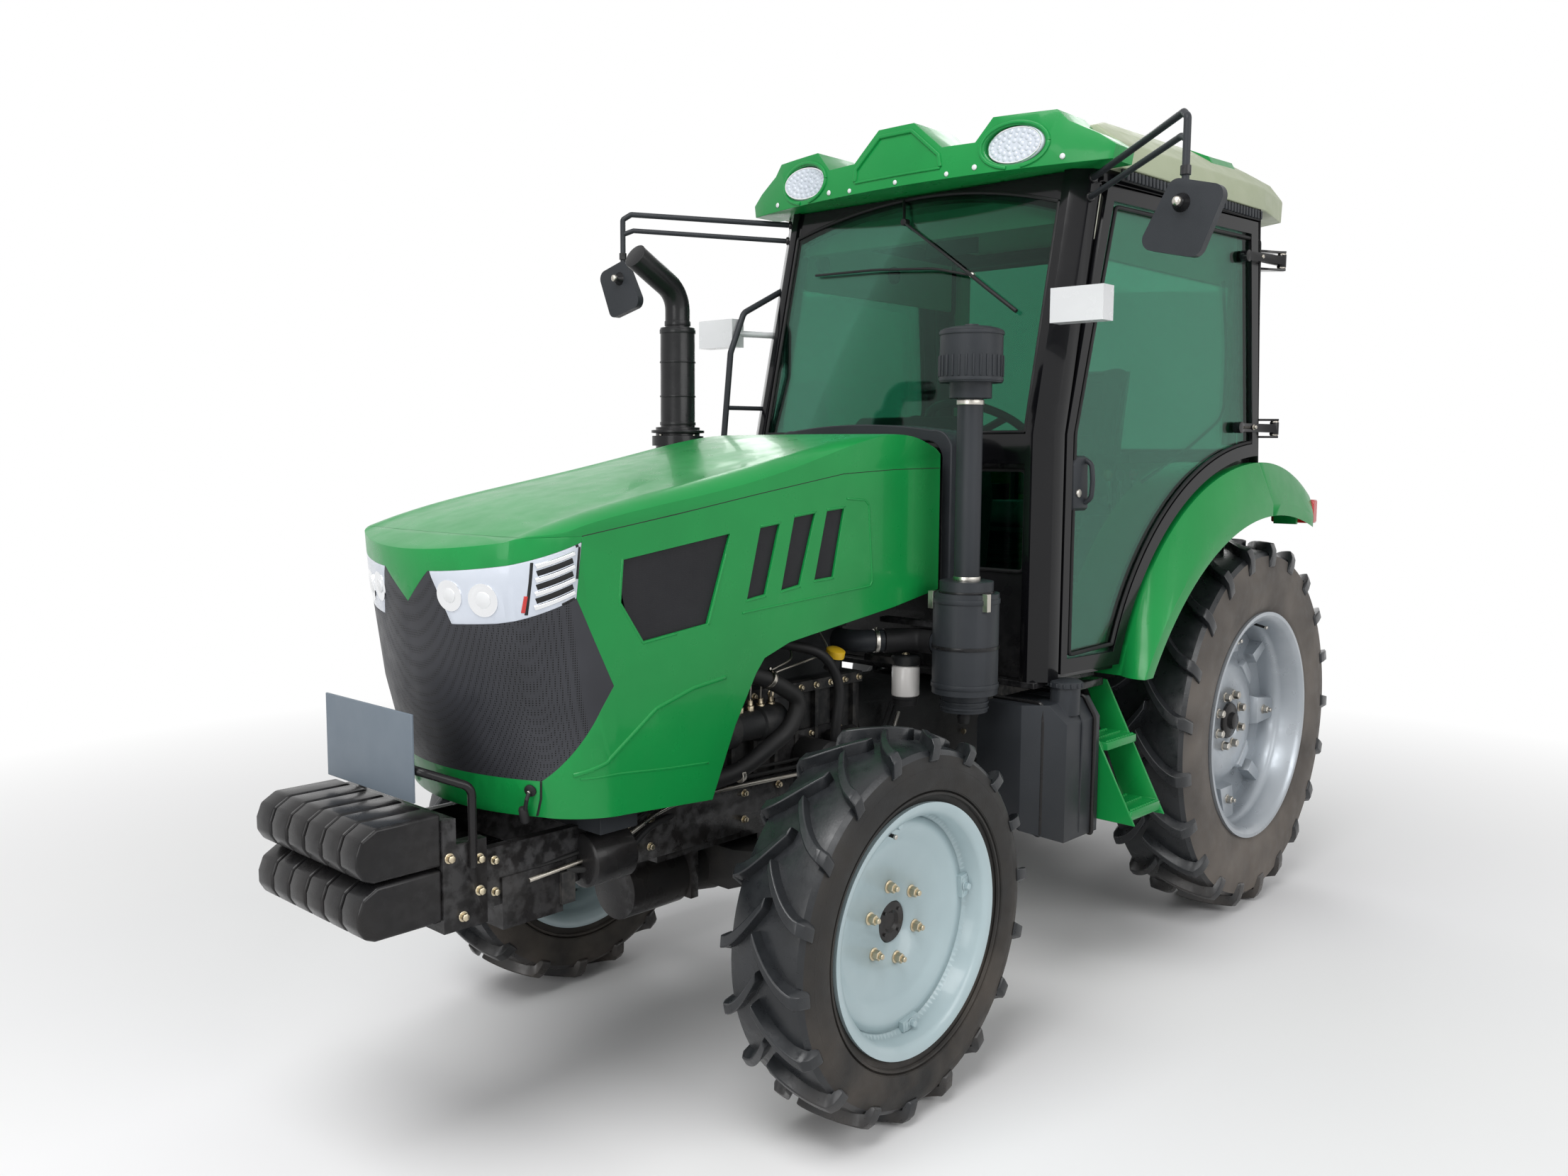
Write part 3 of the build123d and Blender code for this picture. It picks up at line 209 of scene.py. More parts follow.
# Each row: name, colour, second colour, then the finish. Dust gives the height it reaches and its most.
M = {
    "green": finish("green_paint", (0.007, 0.245, 0.052), (0.006, 0.215, 0.046), (0.26, 0.36), coat=0.15,
                    grain=(420, 0.035), specular=0.22),
    "black": finish("black_paint", (0.008, 0.008, 0.009), (0.014, 0.014, 0.015), (0.22, 0.36), coat=0.08,
                    dust=(1.1, 0.12), wear=(0.05, 0.05, 0.052), specular=0.18),
    "gloss_black": finish("gloss_black_paint", (0.004, 0.004, 0.005), (0.006, 0.006, 0.007), (0.12, 0.18), coat=0.2,
                          grain=(420, 0.02), specular=0.2),
    "cast": finish("cast_metal", (0.012, 0.013, 0.014), (0.022, 0.023, 0.024), (0.4, 0.65), grain=(160, 0.35),
                   dust=(1.0, 0.22), wear=(0.08, 0.075, 0.07), specular=0.2),
    "plastic": finish("moulded_plastic", (0.022, 0.025, 0.029), (0.03, 0.033, 0.038), (0.36, 0.5), grain=(700, 0.22),
                      dust=(0.9, 0.1), specular=0.2),
    "tread": finish("tread_rubber", (0.012, 0.0135, 0.0155), (0.021, 0.023, 0.026), (0.24, 0.42), grain=(160, 0.12),
                    patches=9, dust=(0.25, 0.35), specular=0.4),
    "wall": finish("sidewall_rubber", (0.011, 0.011, 0.011), (0.028, 0.025, 0.022), (0.5, 0.72), grain=(260, 0.2),
                   patches=5, dust=(0.7, 0.3), specular=0.3),
    "wall_dusty": finish("dusty_sidewall", (0.06, 0.052, 0.046), (0.12, 0.105, 0.092), (0.6, 0.85), grain=(260, 0.25),
                         patches=6, dust=(0.5, 0.4)),
    "front_rim": finish("pale_rim_paint", (0.4, 0.5, 0.525), (0.35, 0.445, 0.47), (0.28, 0.4), coat=0.25,
                        grain=(300, 0.04), dust=(0.3, 0.3)),
    "rear_rim": finish("silver_rim_paint", (0.4, 0.43, 0.46), (0.33, 0.36, 0.39), (0.25, 0.42), metal=0.55,
                       grain=(500, 0.06), dust=(0.4, 0.3)),
    "cream": finish("cream_panels", (0.36, 0.4, 0.27), (0.33, 0.37, 0.25), (0.42, 0.58), grain=(600, 0.12)),
    "liner": finish("pale_lining", (0.72, 0.72, 0.6), (0.66, 0.66, 0.55), (0.6, 0.75), grain=(500, 0.2)),
    "steel": finish("bright_steel", (0.52, 0.5, 0.46), (0.4, 0.37, 0.32), (0.25, 0.45), metal=1.0, grain=(300, 0.08)),
    "zinc": finish("zinc_plated", (0.62, 0.55, 0.4), (0.5, 0.42, 0.3), (0.28, 0.42), metal=1.0, grain=(300, 0.06)),
    "chrome": finish("bright_reflector", (0.86, 0.87, 0.88), (0.8, 0.81, 0.83), (0.05, 0.1), metal=1.0,
                     grain=(60, 0.01)),
    "white": finish("white_plastic", (0.68, 0.69, 0.7), (0.62, 0.63, 0.64), (0.2, 0.3), coat=0.3, grain=(300, 0.03)),
    "lamp": finish("frosted_lamp", (0.58, 0.62, 0.69), (0.46, 0.5, 0.57), (0.16, 0.26), coat=0.4, grain=(900, 0.25)),
    "red_lamp": finish("red_lens", (0.5, 0.012, 0.01), (0.42, 0.01, 0.008), (0.12, 0.2), coat=0.6, grain=(380, 0.25)),
    "amber": finish("amber_lens", (0.75, 0.2, 0.01), (0.65, 0.16, 0.01), (0.12, 0.2), coat=0.6, grain=(380, 0.25)),
    "plate": finish("plain_plate", (0.125, 0.157, 0.19), (0.115, 0.145, 0.178), (0.4, 0.5), grain=(200, 0.03)),
    "rubber": finish("seal_rubber", (0.009, 0.009, 0.01), (0.014, 0.014, 0.014), (0.5, 0.65), grain=(400, 0.1),
                     specular=0.25),
    "seat_cloth": finish("seat_vinyl", (0.03, 0.032, 0.035), (0.045, 0.047, 0.05), (0.45, 0.6), grain=(450, 0.5)),
    "filter_white": finish("filter_paint", (0.7, 0.68, 0.66), (0.6, 0.58, 0.56), (0.3, 0.4), coat=0.3,
                           grain=(300, 0.03)),
    "yellow": finish("yellow_plastic", (0.8, 0.5, 0.02), (0.7, 0.42, 0.02), (0.3, 0.4), grain=(300, 0.03)),
    "mesh": dotted("grille_mesh", (0.03, 0.031, 0.036), (0.002, 0.002, 0.002), 5.5, 0.3, 0.35),
    "panel_mesh": dotted("panel_mesh", (0.012, 0.012, 0.014), (0.001, 0.001, 0.001), 4.5, 0.32, 0.5),
    "glass": pane("tinted_glass", (0.34, 0.59, 0.5)),
}


# ---------------- mesh tools
class Piece:
    """Gathers mesh parts, each with its own material, into one named object that rides on a body."""

    def __init__(self, name, body, *mats):
        self.name, self.body, self.mats = name, body, mats
        self.bm = bmesh.new()

    def mesh(self, points, faces, mat=0):
        made = [self.bm.verts.new(p) for p in points]
        for face in faces:
            self.bm.faces.new([made[i] for i in face]).material_index = mat

    def loft(self, points, width, mat=0):
        """Closed skin over rows of points, with both ends capped."""
        last = len(points) - width
        ends = [tuple(range(width))[::-1], tuple(range(last, last + width))]
        sides = [(i + k, i + (k + 1) % width, i + width + (k + 1) % width, i + width + k)
                 for i in range(0, last, width) for k in range(width)]
        self.mesh(points, ends + sides, mat)

    def prism(self, outline, first, second, mat=0, taper=1.0):
        """Solid between two copies of an outline; first and second turn a pair into a point."""
        count = len(outline)
        middle = Vector((sum(p[0] for p in outline) / count, sum(p[1] for p in outline) / count))
        ends = [first(*p) for p in outline]
        ends += [second(*(middle + (Vector(p) - middle) * taper)) for p in outline]
        self.loft(ends, count, mat)

    def slab(self, outline, low, high, mat=0):
        """Solid with an outline of (x, z) pairs, from one y to another."""
        self.prism(outline, lambda x, z: P(x, low, z), lambda x, z: P(x, high, z), mat)

    def box(self, x, y, z, mat=0, lean=0):
        """Box from pairs of limits, leaned about its middle by an angle round the y axis."""
        corners = [P(a, b, c) for c in z for a, b in ((x[0], y[0]), (x[1], y[0]), (x[1], y[1]), (x[0], y[1]))]
        if lean:
            middle = sum(corners, Vector()) / 8
            spin = Euler((0, radians(lean), 0)).to_matrix()
            corners = [middle + spin @ (c - middle) for c in corners]
        self.loft(corners, 4, mat)

    def side_box(self, out, x, y, z, mat=0):
        """Box whose y limits are those of the left side, mirrored where out is -1."""
        self.box(x, sorted((out * y[0], out * y[1])), z, mat)

    def lathe(self, profile, centre, axis, mat=0, steps=48, closed=False):
        """Turned form: profile gives distances along the axis and radii."""
        axis = Vector(axis).normalized()
        side = axis.orthogonal().normalized()
        up = axis.cross(side)
        points = []
        for c, s in around(steps, 1):
            out = side * c + up * s
            points += [centre + axis * (h / 1000) + out * (r / 1000) for h, r in profile]
        width = len(profile)
        faces = []
        for i in range(steps):
            j = (i + 1) % steps
            for k in range(width if closed else width - 1):
                m = (k + 1) % width
                faces.append((i * width + k, j * width + k, j * width + m, i * width + m))
        if not closed:
            faces.append(tuple(range(0, steps * width, width)))
            faces.append(tuple(range(width - 1, steps * width, width))[::-1])
        self.mesh(points, faces, mat)

    def rod(self, start, end, radius, mat=0, steps=16):
        length = (end - start).length * 1000
        edge = min(radius * 0.2, length * 0.2, 1.5)
        self.lathe([(0, radius - edge), (edge, radius), (length - edge, radius), (length, radius - edge)],
                   start, end - start, mat, steps)

    def band(self, centre, axis, radius, tall, mat=0, proud=2.6, steps=56):
        """Clamp band or rolled edge round a pipe."""
        h = tall / 2
        self.lathe([(-h - 1, radius - 3), (-h, radius + proud), (h, radius + proud), (h + 1, radius - 3)],
                   centre, axis, mat, steps)

    def bolt(self, place, axis, size, mat=0, washer=True, height=0.62):
        """Hexagon head with a washer; size is the width across the corners."""
        base = 0.0
        if washer:
            self.lathe([(0, size * 0.66), (size * 0.1, size * 0.66), (size * 0.12, size * 0.6)], place, axis, mat, 16)
            base = size * 0.12
        top = base + size * height
        self.lathe([(base, size * 0.5), (top - size * 0.08, size * 0.5), (top, size * 0.42)], place, axis, mat, 6)

    def tube(self, points, radius, mat=0, steps=12, bend=None):
        """Round tube along points, with its corners rounded where a bend is given."""
        path = list(points)
        if bend:
            curved = [path[0]]
            for a, b, c in zip(path, path[1:], path[2:]):
                cut = min(bend / 1000, (b - a).length * 0.45, (c - b).length * 0.45)
                p, q = b + (a - b).normalized() * cut, b + (c - b).normalized() * cut
                curved += [p * (1 - t) ** 2 + b * 2 * t * (1 - t) + q * t * t for t in (0, .2, .4, .6, .8, 1)]
            path = curved + [path[-1]]
        rings, normal = [], None
        for i, point in enumerate(path):
            ahead = (path[min(i + 1, len(path) - 1)] - path[max(i - 1, 0)]).normalized()
            normal = ahead.orthogonal() if normal is None else normal - ahead * normal.dot(ahead)
            normal.normalize()
            other = ahead.cross(normal)
            rings += [point + (normal * a + other * b) / 1000 for a, b in around(steps, radius)]
        self.loft(rings, steps, mat)

    def done(self, slot, bevel=0.0, segments=2, angle=32, replaces=()):
        mesh = bpy.data.meshes.new(self.name)
        bmesh.ops.recalc_face_normals(self.bm, faces=self.bm.faces)
        self.bm.to_mesh(mesh)
        self.bm.free()
        for mat in self.mats:
            mesh.materials.append(mat)
        dress(link(self.name, mesh), self.body, bevel, segments, angle, replaces)


def piece(name, body, mats):
    """New piece whose materials are given by their names in M."""
    return Piece(name, body, *(M[key] for key in mats.split()))


def dress(obj, body, bevel=0.0, segments=2, angle=32, replaces=()):
    """Smooth shading with crisp edges, small fillets, and the body that the piece rides on."""
    obj.data.polygons.foreach_set("use_smooth", [True] * len(obj.data.polygons))
    if bevel:
        tool = obj.modifiers.new("fillets", "BEVEL")
        tool.width, tool.segments, tool.limit_method = bevel / 1000, segments, "ANGLE"
        tool.angle_limit = radians(angle)
    obj.data.set_sharp_from_angle(angle=radians(80 if bevel else angle))
    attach(obj, body)
    if replaces:
        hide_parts(*replaces)


def remake(node, mat, bevel, segments=2, angle=28, name=None, dissolve=2.0):
    """A CAD node's own form, with joined faces and small fillets on its edges."""
    bm = bmesh.new()
    bm.from_mesh(frame["nodes"][node].data)
    bmesh.ops.remove_doubles(bm, verts=bm.verts, dist=0.00002)
    bmesh.ops.dissolve_degenerate(bm, edges=bm.edges, dist=0.00002)
    if dissolve:
        bmesh.ops.dissolve_limit(bm, angle_limit=radians(dissolve), verts=bm.verts, edges=bm.edges)
    bmesh.ops.recalc_face_normals(bm, faces=bm.faces)
    mesh = bpy.data.meshes.new(name or node + "_form")
    bm.to_mesh(mesh)
    bm.free()
    mesh.materials.append(M[mat])
    dress(link(mesh.name, mesh), BODY_OF[node], bevel, segments, angle, (node,))


# ---------------- tyres and rims
WALL_STEPS = 96
SHOULDER = 0.78     # share of a bar's run that lies on the crown; the rest goes down the wall
BAR_ROWS = 14
FOOT_SHARE, TOP_SHARE = 1.28, 0.92      # a bar's width at its foot and its top, against its middle


def make_tyre(name, centre, radius, width, seat_r, rim_half, lugs, rise, wall_mat):
    """Carcass with its rubbed sidewalls, and bars that lean from the shoulders to the middle."""
    node, axis = name + "_tyre", (0, 1, 0)
    body = BODY_OF[node]
    depth, deck, half, bead_at = radius - seat_r, radius - rise, width / 2 - 1.5, rim_half - 13
    carcass = Piece(name + "_carcass", body, M["tread"], M[wall_mat])
    right = [(bead_at + h, seat_r + r) for h, r in ((0, 24), (6, 40), (9, 46), (10, 54))]
    right += [(half - h, seat_r + share * depth) for h, share in ((6, 0.3), (0, 0.46), (4, 0.62))]
    right += [(share * width, deck - r) for share, r in ((0.45, 22), (0.41, 9), (0.33, 3), (0.17, 0), (0, -1))]
    inner = [(6 - bead_at, seat_r + 24), (bead_at - 6, seat_r + 24)]
    carcass.lathe(right + [(-h, r) for h, r in reversed(right[:-1])] + inner, centre, axis, 0, WALL_STEPS, closed=True)
    for face in carcass.bm.faces:
        middle = face.calc_center_median() - centre
        if hypot(middle.x, middle.z) * 1000 < deck - 24:
            face.material_index = 1
    carcass.done("tyre", 0, angle=24, replaces=(node,))

    def bar_row(s):
        """Lateral place and radius of the foot and the top of a bar, its lean and half its thickness."""
        if s < SHOULDER:
            t = s / SHOULDER
            lateral = (-0.04 + 0.49 * t) * width
            foot = deck - 9 * max(0, (abs(lateral) / width - 0.2) / 0.22) ** 2 - 4
            top = radius - 1.5 - 9 * (abs(lateral) / (0.43 * width)) ** 2
            return lateral, foot, lateral, top, 0.49 * width * (1 - (1 - t) ** 1.6), (0.0525 + 0.015 * t) * width
        t = (s - SHOULDER) / (1 - SHOULDER)
        lateral = 0.45 * width + t * (half + 0.4 - 0.45 * width)
        foot = deck - 26 - t * (deck - 24 - seat_r - 0.66 * depth)
        top = radius - 12 - t * (radius - 12 - seat_r - 0.68 * depth)
        return (min(half + 1, lateral - 6), foot, min(half + 1, lateral + 8 - 3 * t), top,
                (0.49 + 0.06 * t) * width, (0.0675 + 0.005 * t) * width)

    bars = Piece(name + "_bars", body, M["tread"])
    for hand in (1, -1):
        for step in range(lugs):
            turn = 2 * pi * (step + (0.5 if hand < 0 else 0.0)) / lugs
            points = []
            for k in range(BAR_ROWS):
                foot_h, foot_r, top_h, top_r, lean, thick = bar_row(k / (BAR_ROWS - 1))
                for shift, h, r in ((-FOOT_SHARE, foot_h, foot_r), (-TOP_SHARE, top_h, top_r),
                                    (TOP_SHARE, top_h, top_r), (FOOT_SHARE, foot_h, foot_r)):
                    a = turn + (lean + shift * thick) / radius
                    points.append(centre + Vector((sin(a) * r, hand * h, cos(a) * r)) / 1000)
            bars.loft(points, 4)
    bars.done("tyre", 3.0, 2, 30)

    rings = Piece(name + "_wall_rings", body, M[wall_mat])
    for hand in (1, -1):
        for share, h in ((0.24, half - 9), (0.3, half - 7.8), (0.56, half - 3)):
            r = seat_r + share * depth
            ring = [(h - 6, r - 5), (h + 0.4, r - 3), (h + 0.4, r + 3), (h - 6, r + 5)]
            rings.lathe([(hand * a, b) for a, b in ring], centre, axis, 0, WALL_STEPS, closed=True)
    rings.done("tyre", 0, angle=50)


def rim_parts(name, centre, out, front):
    """Nuts, valve, hub cap and brackets on the outer face of a rim."""
    body, axis, paint = BODY_OF[name], Vector((0, out, 0)), "front_rim" if front else "rear_rim"

    def at(h, r, degrees, t=0.0):
        """Point at a distance out, a radius, an angle, and a step sideways."""
        a = radians(degrees)
        return centre + Vector((r * cos(a) - t * sin(a), out * h, r * sin(a) + t * cos(a))) / 1000

    def wedge(outline, degrees, low, high, taper):
        extra.prism(outline, lambda r, t: at(low, r, degrees, t), lambda r, t: at(high(r), r, degrees, t), 0, taper)

    remake(name, paint, 0, angle=26, dissolve=0)
    nuts = piece(name + "_nuts", body, "zinc black" if front else "steel black")
    count, circle, start = (6, 100, 20) if front else (8, 102, 22.5)
    for k in range(count):
        place = at(22, circle, 360 * k / count + start)
        if front:
            nuts.lathe([(0, 17), (2.5, 17), (4, 14)], place, axis, 0, 20)
            nuts.bolt(place + axis * 0.003, axis, 27, 0, False, 0.7)
            nuts.rod(place + axis * 0.018, place + axis * 0.032, 7.5, 0)
        else:
            nuts.lathe([(0, 19), (3, 19), (4.5, 15)], place, axis, 0, 20)
            nuts.bolt(place + axis * 0.004, axis, 30, 0, False, 0.7)
    hub = ([(8, 55.5), (15, 55.5), (18, 52), (19, 30), (12, 22), (12, 0.05)] if front else
           [(6, 69), (30, 66), (34, 60), (36, 34), (50, 30), (52, 26), (52, 0.05)])
    nuts.lathe(hub, centre, axis, 1, 40)
    if front:
        for k in range(4):
            nuts.bolt(at(17.5, 40, 90 * k + 45), axis, 9, 1, False)
    nuts.done("steel", 0, angle=30)

    extra = piece(name + "_brackets", body, paint + " steel rubber")
    if front:
        for k in range(4):
            turn = 90 * k - 8
            wedge([(262, -34), (292, -34), (292, 34), (262, 34)], turn, 30, lambda r: 58, 0.92)
            wedge([(268, -24), (292, -24), (292, 24), (268, 24)], turn, 52, lambda r: 60, 0.92)
            extra.bolt(at(60, 276, turn), axis, 20)
        valve = ((62, 286, 70), (100, 281, 70), (98, 281, 70), (106, 280, 70))
    else:
        for k in range(8):
            small = k % 2
            back, wide, narrow = (300, 30, 22) if small else (255, 62, 46)
            outline = [(back, -wide), (388, -narrow), (388, narrow), (back, wide)]
            wedge(outline, 45 * k, -30, lambda r: 26 if r < 330 else 40, 0.86)
            if not small:
                place = at(30, 312, 45 * k)
                extra.bolt(place, axis, 30, 1)
                extra.rod(place + axis * 0.018, place + axis * 0.034, 8, 1)
        for k in range(4):
            wedge([(215, -70), (262, -52), (262, 52), (215, 70)], 90 * k + 45, 4, lambda r: 20, 0.8)
        valve = ((70, 382, 100), (125, 370, 100), (122, 371, 100), (132, 369, 100))
    extra.rod(at(*valve[0]), at(*valve[1]), 5, 2)
    extra.rod(at(*valve[2]), at(*valve[3]), 6.5, 1)
    extra.done(paint, 2.0, 2, 30)


# Each wheel: its middle, then radius, tyre width, bead radius, half the rim's width, bars, bar height and wall.
WHEELS = (("front", (2195, 670), (507, 256, 305, 112, 18, 34, "wall")),
          ("rear", (0, 601), (REAR_AXLE_Z, 316, 406, 150, 21, 38, "wall_dusty")))
for hand, out in SIDES:
    for end, (x, y), sizes in WHEELS:
        make_tyre(f"{end}_{hand}", P(x, out * y, sizes[0]), *sizes)
    for end, (x, y), sizes in WHEELS:
        rim_parts(f"{end}_{hand}_rim", P(x, out * y, sizes[0]), out, end == "front")

# ---------------- the CAD's own forms, with fillets
for mat, bevel, nodes in (
    ("black", 2, "front_wall"), ("black", 3, "front_frame cab_floor"), ("black", 4, "radiator"),
    ("black", 7, "front_weights"), ("black", 12, "seat_base"), ("gloss_black", 4, "left_door right_door"),
    ("gloss_black", 5, "cab_frame"), ("cast", 4, "left_knuckle right_knuckle hitch_frame"),
    ("cast", 5, "lower_links lift_arms"), ("cast", 6, "front_axle"), ("cast", 8, "engine"),
    ("cast", 10, "gearbox rear_axle"), ("steel", 2, "steering_rod lift_rods"), ("plastic", 10, "tool_box"),
    ("plastic", 14, "fuel_tank"), ("plastic", 18, "dashboard"), ("plate", 1.5, "number_plate"),
    ("green", 2, "inner_walls"), ("green", 3, "steps"), ("liner", 4, "headliner"),
):
    for node in nodes.split():
        remake(node, mat, bevel, 2 if bevel < 6 else 3)
for mat, bevel, nodes in (
    ("green", 2.5, "bonnet_top left_side_panel right_side_panel nose left_fender right_fender"),
    ("green", 9, "roof_visor"), ("plastic", 3, "steering_wheel"), ("plastic", 4, "cowl air_cleaner"),
    ("plastic", 5, "mirrors"), ("mesh", 0, "grille"), ("panel_mesh", 0, "bonnet_mesh"), ("cream", 14, "roof"),
    ("black", 3, "muffler"), ("white", 26, "signal_lamps"), ("lamp", 3, "headlamps"), ("lamp", 8, "roof_lamps"),
):
    for node in nodes.split():
        remake(node, mat, bevel, 6 if bevel > 20 else 3, angle=30, dissolve=0.5)
remake("rear_lamps", "red_lamp", 8, 3)
for node in ("windscreen", "front_lights", "rear_window", "left_door_glass", "right_door_glass"):
    frame["nodes"][node].data.materials.clear()
    frame["nodes"][node].data.materials.append(M["glass"])

# ---------------- beads and studs laid on CAD surfaces
class Skin:
    """The outside of CAD nodes, met by rays along one axis from one side."""

    RAY_START = 4.0     # metres from the frame's origin, clear of the part

    def __init__(self, nodes, axis, sign):
        points, faces = [], []
        for node in nodes:
            mesh = frame["nodes"][node].data
            base = len(points)
            points += [v.co for v in mesh.vertices]
            faces += [tuple(base + i for i in p.vertices) for p in mesh.polygons]
        self.tree = BVHTree.FromPolygons(points, faces)
        self.axis, self.sign = "xyz".index(axis), sign

    def at(self, a, b):
        """Point and outward normal where the ray through (a, b) meets the skin, or None."""
        place = [a, b]
        place.insert(self.axis, 0)
        start, way = P(*place), Vector((0, 0, 0))
        start[self.axis] = self.RAY_START * self.sign
        way[self.axis] = -self.sign
        hit, normal, _, _ = self.tree.ray_cast(start, way)
        if hit is None:
            return None
        return hit, normal if normal.dot(way) < 0 else -normal


def bead(part, skin, path, width, lift, mat=0, step=14, closed=False, sink=1.0):
    """Raised line of even width that follows a path over the skin, broken where the skin has a gap."""
    corners = list(path) + ([path[0]] if closed else [])
    spots = []
    for (a, b), (c, d) in zip(corners, corners[1:]):
        count = max(1, round(hypot(c - a, d - b) / step))
        spots += [(a + (c - a) * k / count, b + (d - b) * k / count) for k in range(count)]
    spots.append(corners[-1])
    rows = []
    for i, (a, b) in enumerate(spots):
        before, after = spots[max(i - 1, 0)], spots[min(i + 1, len(spots) - 1)]
        run = Vector((after[0] - before[0], after[1] - before[1])).normalized()
        cross = Vector((-run.y, run.x)) * width / 2
        pair = [skin.at(a + cross.x, b + cross.y), skin.at(a - cross.x, b - cross.y)]
        if None in pair:
            flush(part, rows, mat, lift, sink)
            rows = []
        else:
            rows.append((pair[0][0], pair[1][0], (pair[0][1] + pair[1][1]).normalized()))
    flush(part, rows, mat, lift, sink)


def flush(part, rows, mat, lift, sink):
    """Strip between rows of two points each, raised along the facing averaged over the rows near by."""
    if len(rows) < 2:
        return
    points = []
    for i, (p, q, _) in enumerate(rows):
        facing = sum((row[2] for row in rows[max(i - 3, 0):i + 4]), Vector()).normalized()
        up, down = facing * lift / 1000, facing * sink / 1000
        points += [p - down, p * 0.82 + q * 0.18 + up, q * 0.82 + p * 0.18 + up, q - down]
    part.loft(points, 4, mat)


def stud(part, skin, a, b, profile, mat, steps):
    """Turned form standing on the skin, where the skin is met."""
    found = skin.at(a, b)
    if found:
        part.lathe(profile, *found, mat, steps)


# Path of the seam between the bonnet top and the side panel. It is drawn as a thin dark strip, whose darkness is
# painted shade in the gap.
SEAM = ((1570, 1676), (1790, 1672), (2020, 1661), (2370, 1610), (2650, 1567), (2939, 1526))
RIDGES = (
    (((2006, 1592), (1925, 1586), (1908, 1572), (1888, 1352), (1898, 1340), (2240, 1318), (2420, 1306)), 7, 2.0),
    (((2955, 972), (2873, 991), (2717, 1098), (2592, 1133), (2480, 1146)), 12, 3.0),
    (((2940, 962), (2830, 958), (2685, 944), (2540, 934)), 7, 1.6),
)
HOLES = (
    ((2816, 1466), (2465, 1513), (2545, 1290), (2756, 1267), (2825, 1366)),
    ((2354, 1523), (2280, 1531), (2334, 1348), (2403, 1340)),
    ((2223, 1546), (2138, 1555), (2199, 1364), (2273, 1354)),
    ((2090, 1559), (2016, 1565), (2061, 1377), (2140, 1373)),
)


def lamp_top(x):
    """Height of the headlamp's upper edge."""
    return 1513 - (x - 2939) * 0.303


def lamp_foot(x):
    """Height of the headlamp's lower edge."""
    return 1385 - (x - 2957) * 0.378 if x < 3100 else 1331 - (x - 3100) * 0.2


def lamp_line(share, *spots):
    """Path at a share of the way down the headlamp."""
    return [(x, lamp_top(x) + (lamp_foot(x) - lamp_top(x)) * share) for x in spots]


for hand, out in SIDES:
    panel = Skin((f"{hand}_side_panel", "nose", "bonnet_top", "grille"), "y", out)
    lines = piece(f"{hand}_panel_lines", "bonnet", "rubber green")
    # The two dark rubber strips below run along real seams, bonnet top to side panel and chin to side panel. Their
    # darkness is painted shade in the gaps.
    bead(lines, panel, SEAM, 3.5, 0.25, 0)
    bead(lines, panel, ((3010, 960), (3003, 915), (3000, 870)), 4, 0.3, 0, 8)
    for path, width, lift in RIDGES:
        bead(lines, panel, path, width, lift, 1)
    for hole in HOLES:
        middle = sum((Vector(p) for p in hole), Vector((0, 0))) / len(hole)
        wide = [tuple(middle + (Vector(p) - middle) * (1 + 5 / (Vector(p) - middle).length)) for p in hole]
        bead(lines, panel, wide, 7, 1.6, 1, closed=True)
    lines.done("green", 0.5, 1, 40)

    latch = piece(f"{hand}_bonnet_latch", "bonnet", "rubber steel")
    spot, facing = panel.at(3018, 935)
    low, low_facing = panel.at(3012, 880)
    latch.lathe([(0, 15), (4, 15), (6, 11), (8, 0.05)], spot, facing, 0, 20)
    strap = [spot + facing * 0.006, spot + facing * 0.02 + Vector((0, 0, -0.012)), low + low_facing * 0.016]
    latch.tube(strap, 5, 0, 10)
    latch.bolt(spot + facing * 0.007, facing, 9, 1, False)
    latch.lathe([(-20, 8), (-14, 11), (14, 11), (20, 8)], low + low_facing * 0.017, (0.2, 0, 1), 0, 16)
    latch.done("plastic", 0.6)

    # Lamps: chrome slats in the rear half, a dark divider, a gasket and a small side marker.
    shell = Skin(("headlamps",), "y", out)
    lamp = piece(f"{hand}_headlamp_detail", "bonnet", "chrome rubber red_lamp")
    slats = [(lamp_line(0.14 + 0.24 * k, 2962, 2990, 3020, 3050), 13, 4.0, 0) for k in range(4)]
    gaps = [(lamp_line(0.26 + 0.24 * k, 2966, 2990, 3020, 3048), 16, 0.8, 1) for k in range(3)]
    for path, width, lift, mat in slats + gaps + [
        ([(3058, lamp_top(3058) - 6), (3064, lamp_foot(3058) + 6)], 7, 1.4, 1),
        ([(3066, lamp_foot(3066) + 52), (3069, lamp_foot(3066) + 14)], 9, 1.6, 2),
        ([(x, lamp_top(x) - (4 if x == 2950 else 3)) for x in (2950, 2990, 3060, 3130)], 7, 0.8, 1),
        ([(x, lamp_foot(x) + (4 if x == 2962 else 3)) for x in (2962, 3010, 3096)], 6, 0.8, 1),
        ([(2947, lamp_top(2947) - 8), (2960, lamp_foot(2960) + 6)], 9, 0.8, 1),
    ]:
        bead(lamp, shell, path, width, lift, mat, 8)
    lamp.done("lamp", 0.6, 2, 40)
    front = Skin(("headlamps",), "x", 1)
    bowls = piece(f"{hand}_headlamp_bowls", "bonnet", "chrome white")
    for y, z, r in ((150, 1390, 34), (238, 1384, 36)):
        rim = [(-2, r + 3), (1.4, r + 2.5), (2.2, r - 2), (0.9, r - 7), (0.6, r - 14)]
        stud(bowls, front, out * y, z, rim, 0, 40)
        stud(bowls, front, out * y, z, [(-1, r - 16), (1.8, r - 17), (3.4, (r - 16) * 0.5), (3.8, 0.05)], 1, 28)
    bowls.done("lamp")


# ---------------- cab outside
def lamp_oval(out, wide, tall, count, start=0.0):
    """Ring of (y, z) pairs round a roof lamp."""
    return [(out * LAMP_Y + wide * c, LAMP_Z + tall * s) for c, s in around(count, 1, start)]


